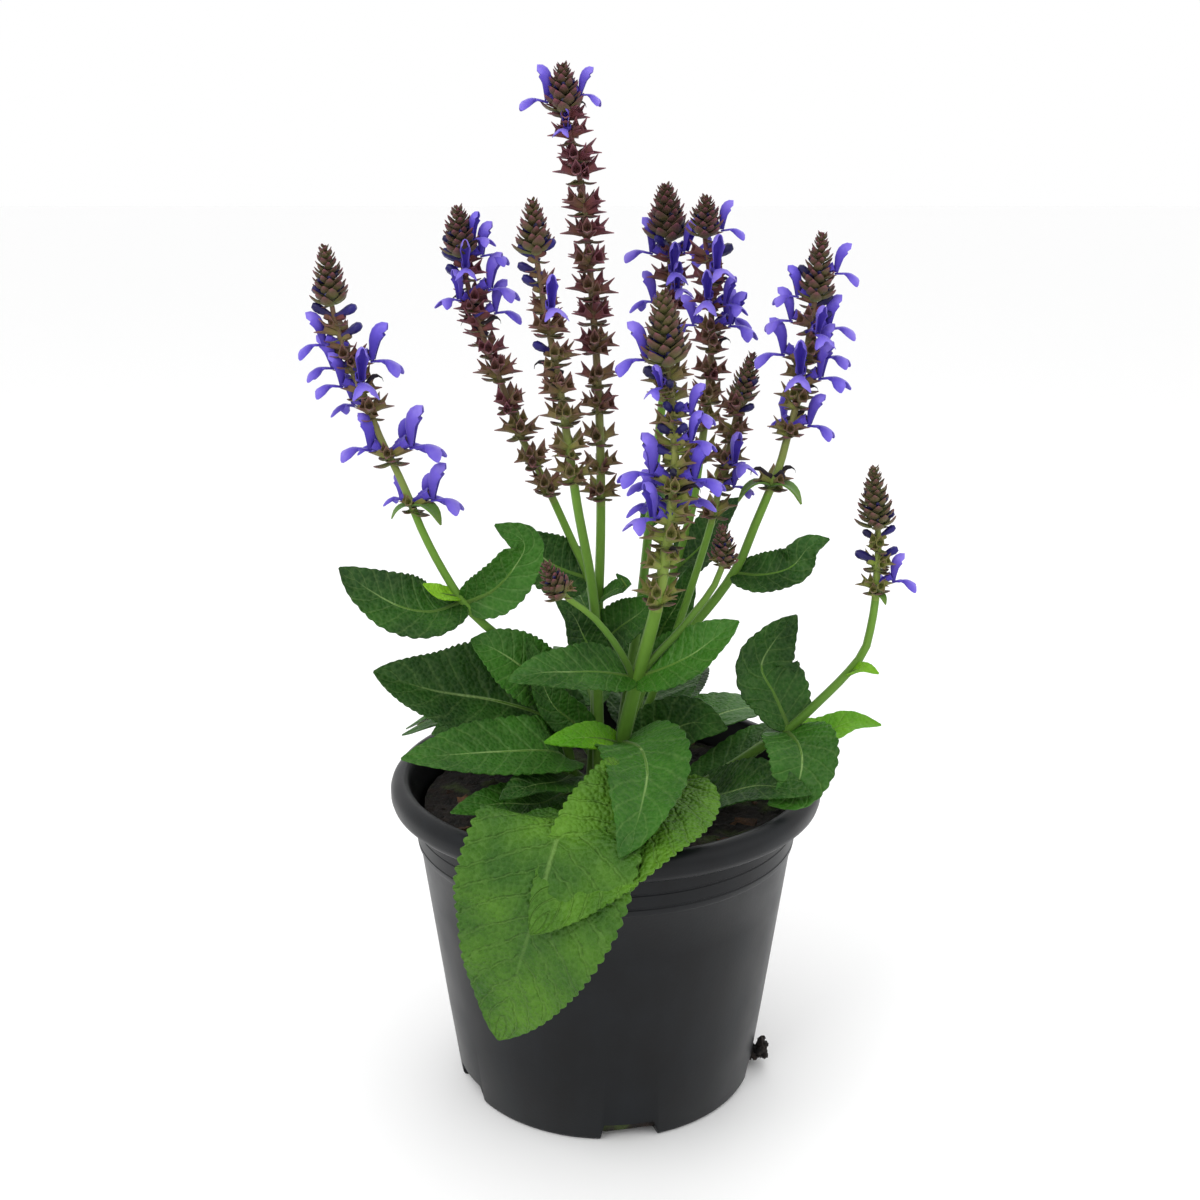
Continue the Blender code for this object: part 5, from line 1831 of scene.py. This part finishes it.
@dataclass(frozen=True)
class BladeCut:
    """How finely a leaf blade is modelled: faces across and along, teeth and how deep they go."""

    across: int
    along: int
    teeth: int
    depth: float


SMALL_CUT = BladeCut(8, 36, 9, 0.075)
MIDDLE_CUT = BladeCut(12, 64, 15, 0.075)
LARGE_CUT = BladeCut(18, 148, 31, 0.055)


@dataclass
class StemWithLeaves:
    """One shoot: its square stems and its toothed, puckered leaves."""

    plan: ShootPlan
    ring_step: float = 6.0
    small_below: float = 8.0
    large_above: float = 16.0
    frill: float = 0.05
    vein_pairs: float = 9.0
    vein_slant: float = 0.17
    quilt: float = 0.028
    thickness: float = 0.45
    rib_share: float = 0.93
    smooth_below: float = 60.0

    def stems(self) -> bpy.types.Object:
        """Models the main stem and its side shoots, up to where their spikes start.

        Returns:
            The stems as one piece.
        """
        parts = []
        for number, (route, start, radius, end) in enumerate(self.plan.lines()):
            lengths = stations(start, end + 0.4, self.ring_step)
            radii = tapered(lengths, radius, radius * SPIKE_TAPER)
            parts.append(toned(shaft(f"{self.plan.name}_{number}", route, lengths, radii), 0.2 * number))
        return joined(f"{self.plan.name}_stems", parts)

    def cut_of(self, leaf: LeafPlan) -> BladeCut:
        """Chooses how finely a blade is modelled.

        Args:
            leaf: The leaf's plan.

        Returns:
            The cut for a leaf of its half width.
        """
        if leaf.half_width < self.small_below:
            return SMALL_CUT
        return LARGE_CUT if leaf.half_width > self.large_above else MIDDLE_CUT

    def blade(self, leaf: LeafPlan, number: int) -> bpy.types.Object:
        """Models one leaf blade.

        Args:
            leaf: Its plan.
            number: Which leaf of the shoot it is, which varies its frill and its tone.

        Returns:
            The blade, with its UV map along and across.
        """
        route = Route(rooted(leaf.rib, self.plan))
        face = Vector(leaf.face)
        cut = self.cut_of(leaf)
        frames = {}

        def frame_at(t: float) -> tuple[Vector, Vector, Vector]:
            """Finds how the blade lies.

            Args:
                t: A share of its length.

            Returns:
                The rib's point, the way to the side and the normal.
            """
            if t not in frames:
                s = route.length * (leaf.petiole + (1 - leaf.petiole) * t)
                frames[t] = (route.point(s), *side_of(route.tangent(s), face))
            return frames[t]

        def place(u: float, t: float) -> Vector:
            """Lays the grid along the rib with teeth, fold, waves and puckers.

            Args:
                u: The share across.
                t: The share along.

            Returns:
                The point in millimetres.
            """
            centre, side, normal = frame_at(t)
            edge = abs(u)
            width = max(leaf.half_width * leaf_width(t), 0.3)
            tooth = abs(math.sin(math.pi * cut.teeth * (t - 0.02 * edge)))
            width *= 1 + cut.depth * (tooth - 0.6) * edge**5
            ripple = leaf.wave * math.sin(t * leaf.stations * 1.9) * min(1, width / leaf.half_width)
            phase = 11 * t + 2.1 * number + (2 if u > 0 else 0)
            frill = self.frill * width * math.sin(phase) * edge**3
            vein = math.cos(math.tau * self.vein_pairs * (t - self.vein_slant * edge)) * (1 - edge) * edge * 4
            quilt = -self.quilt * min(width, 14) * vein
            rise = width * leaf.fold * edge**1.25 + frill + quilt - ripple * u
            return centre + side * (u * width) + normal * rise

        sheet = Bench(f"{self.plan.name}_blade").sheet(cut.across, cut.along, place, self.thickness)
        return toned(sheet, (number * 0.37) % 1.0)

    def rib(self, leaf: LeafPlan, number: int) -> bpy.types.Object:
        """Models the petiole and the raised midrib on the underside.

        Args:
            leaf: The leaf's plan.
            number: Which leaf of the shoot it is, which varies the rib's tone.

        Returns:
            The rib.
        """
        route = Route(rooted(leaf.rib, self.plan))
        lengths = stations(0.0, route.length * self.rib_share, max(4.0, route.length / 16))
        radius = 0.9 + 0.035 * leaf.half_width
        made = shaft(f"{self.plan.name}_rib", route, lengths, tapered(lengths, radius, 0.3))
        normal = side_of(route.tangent(route.length / 2), Vector(leaf.face))[1]
        made.data.transform(Matrix.Translation(normal * -0.5 * radius * MM))
        return toned(made, (number * 0.61) % 1.0)

    def dress(self, finishes: Greenhouse) -> None:
        """Builds the shoot's pieces and gives them their finishes.

        Args:
            finishes: The finishes.
        """
        name = self.plan.name
        stems = self.stems()
        smooth(stems, SMOOTH_STEM)
        finish_piece(stems, finishes.stem, name)
        ribs = joined(f"{name}_ribs", [self.rib(leaf, i) for i, leaf in enumerate(self.plan.leaves)])
        smooth(ribs, SMOOTH_STEM)
        finish_piece(ribs, finishes.stem, name)
        for tone in LeafTone:
            blades = [self.blade(leaf, i) for i, leaf in enumerate(self.plan.leaves) if leaf.tone is tone]
            if blades:
                made = joined(f"{name}_leaves_{tone.value}", blades)
                smooth(made, self.smooth_below)
                finish_piece(made, finishes.leaves[tone], name)


@dataclass
class FlowerSpike:
    """One spike: rachis, whorls of calyxes, open flowers, buds, dried flowers, head and bracts."""

    plan: SpikePlan
    organs: OrganBench
    found: dict[SpikePiece, list[bpy.types.Object]] = field(default_factory=dict)
    calyx_length: float = 6.5
    least_gap: float = 4.0
    least_turn: float = 34.0
    back_from: float = 115.0
    petal_growth: float = 1.12
    twin_sizes: tuple[float, ...] = (0.86, 0.7)
    bract_length: float = 5.4
    golden_angle: float = 137.5
    smooth_petal: float = 55.0
    smooth_calyx: float = 40.0

    def rachis(self) -> tuple[Route, float, float]:
        """Route, start and first radius of the spike's own stem."""
        route, _, radius, end = self.plan.shoot.lines()[self.plan.branch]
        return route, end + GAP, radius * SPIKE_TAPER

    def in_bloom(self, height: float) -> bool:
        """True at a height where the spike is in flower."""
        blooms = [f[0] for f in self.plan.flowers if f[2] is Organ.FLOWER]
        return bool(blooms) and min(blooms) - 3 < height < max(blooms) + 3

    def whorls(self, rng: random.Random) -> list[tuple[float, float, Organ, float]]:
        """Lists everything that grows below the head: what the plan lists, then the whorls.

        Args:
            rng: The random numbers that the solids are made with too.

        Returns:
            Length along the rachis, bearing, kind and size of each.
        """
        route, start, _ = self.rachis()
        found = [(route.length_at_height(h), a, kind, size) for h, a, kind, size in self.plan.flowers]
        for low, high, spacing, count, length in self.plan.zones:
            height, row = low, 0
            while height < high:
                s = route.length_at_height(height)
                for k in range(count):
                    degrees = 360 * (k + 0.5 * (row % 2)) / count + rng.uniform(-14, 14)
                    behind = abs(turn_between(degrees, 0)) > self.back_from
                    blooms = behind and self.in_bloom(height) and row % 3 == 0
                    kind = Organ.FLOWER if blooms else Organ.CALYX
                    if all(
                        abs(s - f[0]) > self.least_gap or abs(turn_between(degrees, f[1])) > self.least_turn
                        for f in found
                    ):
                        found.append((s, degrees, kind, length / self.calyx_length))
                height += spacing
                row += 1
        return [f for f in found if f[0] > start + 0.8]

    def put(self, group: SpikePiece, part: bpy.types.Object, place: Matrix, tone: float) -> None:
        """Stamps a copy of a part and keeps it with the pieces of its finish."""
        self.found.setdefault(group, []).append(stamp(part, place, min(max(tone, 0.0), 1.0)))

    def greenness(self, s: float) -> float:
        """How green the calyxes are at a length: the oldest, lowest ones are the greenest."""
        route, start, _ = self.rachis()
        return self.plan.green + 0.8 * (0.5 - (s - start) / (route.length - start))

    def place_organs(self) -> None:
        """Sets the organs where the solids have them, with the twins that stand beside each calyx."""
        rng = random.Random(SEED + len(self.plan.name) + int(self.plan.head[0]))
        own = random.Random(SEED + len(self.plan.name))
        route, start, _ = self.rachis()
        up = Vector((0, 0, 1))
        made = self.organs.made
        for s, degrees, kind, size in self.whorls(rng):
            rise = rng.uniform(0.25, 0.6)
            root = route.point(s) + Vector([rng.uniform(-0.15, 0.15) for _ in range(3)])
            out = (compass(degrees, 1.0, 0.0) + Vector((0, 0, rise))).normalized()
            green = self.greenness(s) + own.uniform(-0.2, 0.2)
            place = place_of(root + out * 0.2, out, up, evenly(size))
            self.put(SpikePiece.CALYXES, made[kind][0], place, green)
            if kind is Organ.FLOWER:
                wide = place_of(root + out * 0.2, out, up, evenly(size * self.petal_growth))
                for part in made[kind][1:]:
                    self.put(SpikePiece.PETALS, part, wide, own.uniform(0.0, 0.55))
            elif kind is Organ.BUD:
                self.put(SpikePiece.BUDS, made[kind][1], place, own.random())
            elif kind is Organ.WITHERED:
                self.put(SpikePiece.DRIED, made[kind][1], place, own.random())
            else:
                for share in self.twin_sizes:
                    self.twin(route.point(s), degrees, size * share, green, own)
            out = compass(degrees + own.uniform(-30, 30), 1.0, 0.0) + Vector((0, 0, own.uniform(0.0, 0.5)))
            bract = place_of(root - up * 1.2 * size, out.normalized(), -up, evenly(self.bract_length * size))
            self.put(SpikePiece.SCALES, made[Organ.BRACT][0], bract, green)
        for height, degrees, length in self.plan.bracts:
            root = route.point(max(route.length_at_height(height), start + 1.4))
            root += Vector([rng.uniform(-0.15, 0.15) for _ in range(3)])
            out = (compass(degrees, 1.0, 0.0) + Vector((0, 0, 0.1))).normalized()
            leaf = place_of(root, out, up, evenly(length))
            self.put(SpikePiece.LEAFY, made[Organ.LEAFY][0], leaf, 0.5)

    def twin(
        self, root: Vector, degrees: float, size: float, green: float, own: random.Random
    ) -> None:
        """Sets another calyx beside one of the whorl's, since they grow in clusters.

        Args:
            root: The rachis's point at the whorl.
            degrees: The first calyx's bearing.
            size: The twin's size.
            green: How green the whorl is there.
            own: The random numbers of what only the scene adds.
        """
        side = own.choice((-1, 1))
        bearing = degrees + side * own.uniform(24, 40)
        out = (compass(bearing, 1.0, 0.0) + Vector((0, 0, own.uniform(0.1, 1.1)))).normalized()
        lift = Vector((0, 0, own.uniform(-3.2, 2.6)))
        place = place_of(root + lift, out, Vector((0, 0, 1)), evenly(size))
        twin_green = green + own.uniform(-0.25, 0.25)
        self.put(SpikePiece.CALYXES, self.organs.made[Organ.CALYX][0], place, twin_green)

    def head(self) -> None:
        """The closed head: spirals of pointed bracts over a slim core, each smaller than the last."""
        own = random.Random(SEED + 7 * len(self.plan.name))
        route, _, _ = self.rachis()
        start_height, first_size = self.plan.head
        start = route.length_at_height(start_height)
        span = route.length - start
        count = int(24 + span * 2.2)
        for i in range(count):
            share = i / (count - 1)
            s = start + span * 0.93 * share
            size = first_size * (1.0 - 0.72 * share**1.4)
            a = math.radians(self.golden_angle * i + own.uniform(-8, 8))
            ahead = route.tangent(s)
            side, normal = side_of(ahead, Vector((0, -1, 0)))
            away = math.cos(a) * normal + math.sin(a) * side
            out = (ahead + away * (0.9 - 0.45 * share)).normalized()
            length = size * own.uniform(0.85, 1.1)
            root = route.point(s) + away * size * 0.22
            green = self.plan.green + 0.5 * (0.5 - share) + own.uniform(-0.35, 0.35)
            place = place_of(root, out, away, (length * 0.8, length, length))
            self.put(SpikePiece.HEAD, self.organs.made[Organ.BRACT][0], place, green)
            # Tight buds peep out between the lower bracts.
            if share < 0.5 and i % 3 == 0:
                small = 0.055 * size
                out = (away + 0.55 * ahead).normalized()
                place = place_of(root, out, ahead, (1.3 * small, 1.3 * small, 1.35 * small))
                self.put(SpikePiece.BUDS, self.organs.made[Organ.BUD][1], place, own.random() * 0.4)

    def core(self) -> bpy.types.Object:
        """Models the rachis up to the head's tip.

        Returns:
            The rachis.
        """
        route, start, radius = self.rachis()
        lengths = stations(start, route.length - 1.0, 5.0)
        made = shaft(f"{self.plan.name}_rachis", route, lengths, tapered(lengths, radius, 0.8))
        return toned(made, self.plan.green)

    def dress(self, finishes: Greenhouse) -> None:
        """Builds the spike's pieces and gives them their finishes.

        Args:
            finishes: The finishes.
        """
        node = self.plan.name
        self.place_organs()
        self.head()
        rachis = self.core()
        smooth(rachis, SMOOTH_STEM)
        finish_piece(rachis, finishes.rachis, node)
        rounded = (SpikePiece.PETALS, SpikePiece.BUDS, SpikePiece.DRIED)
        for group, copies in self.found.items():
            made = joined(f"{node}_{group.value}", copies)
            smooth(made, self.smooth_petal if group in rounded else self.smooth_calyx)
            finish_piece(made, finishes.spike[group], node)


@dataclass
class Studio:
    """A pale floor, soft light and the photograph's camera; none of it is part of the object."""

    floor_size: float = 24.0
    floor_drop: float = 0.0002
    camera_place: Point = (-0.0022, -0.55, 0.3507)
    pitch: float = 73.95
    lens: float = 45.86
    sensor_width: float = 36.0
    aim: Point = (0.0, 0.0, 0.18)

    def build(self) -> None:
        """Sets the floor, the lights and the camera."""
        self.lay_floor()
        self.light_up()
        camera = bpy.data.objects.new("camera", bpy.data.cameras.new("camera"))
        camera.location = self.camera_place
        camera.rotation_euler = (math.radians(self.pitch), 0, 0)
        camera.data.lens = self.lens
        camera.data.sensor_width = self.sensor_width
        bpy.context.scene.collection.objects.link(camera)
        bpy.context.scene.camera = camera
        bpy.context.scene.view_settings.view_transform = "Standard"

    def lay_floor(self) -> None:
        """Lays the floor, a hair below the pot's foot so that the two don't flicker."""
        Bench("floor")
        bpy.ops.mesh.primitive_plane_add(size=self.floor_size, location=(0, 0, -self.floor_drop))
        floor = bpy.context.object
        floor.name = "floor"
        bpy.ops.object.transform_apply(location=True)
        board, shader = new_board("studio_floor")
        board.wire(shader, Base_Color=linear("#FDFDFD"), Roughness=0.7)
        floor.data.materials.append(board.material)

    def light_up(self) -> None:
        """Makes the pale air round the plant and hangs the three lamps."""
        world = bpy.data.worlds.new("studio_air")
        world.use_nodes = True
        air = world.node_tree.nodes["Background"]
        air.inputs["Color"].default_value = linear("#FFFFFF")
        air.inputs["Strength"].default_value = 1.0
        bpy.context.scene.world = world
        self.lamp("key_light", (-0.55, -0.75, 1.15), 0.6, 6.0)
        self.lamp("fill_light", (0.95, -0.35, 0.6), 0.9, 1.5)
        self.lamp("rim_light", (0.2, 0.9, 0.9), 0.8, 2.0)

    def lamp(self, name: str, place: Point, size: float, power: float) -> None:
        """Adds a square soft light that looks at the plant.

        Args:
            name: The lamp's name.
            place: Where it hangs, in metres.
            size: The length of its edge.
            power: Its power in watts.
        """
        light = bpy.data.lights.new(name, "AREA")
        light.size = size
        light.energy = power
        made = bpy.data.objects.new(name, light)
        made.location = place
        towards = Vector(self.aim) - Vector(place)
        made.rotation_euler = towards.to_track_quat("-Z", "Y").to_euler()
        bpy.context.scene.collection.objects.link(made)


def main() -> None:
    """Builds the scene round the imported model."""
    logging.basicConfig(level=logging.INFO, format="%(name)s %(message)s")
    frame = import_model()
    finishes = Greenhouse()
    NurseryPot().dress(finishes)
    SoilBed().dress(finishes, frame["nodes"]["potting_soil"])
    for plan in SHOOTS:
        StemWithLeaves(plan).dress(finishes)
    organs = OrganBench()
    organs.build()
    for plan in SPIKES:
        FlowerSpike(plan, organs).dress(finishes)
    organs.clear()
    Studio().build()


if __name__ == "__main__":
    main()
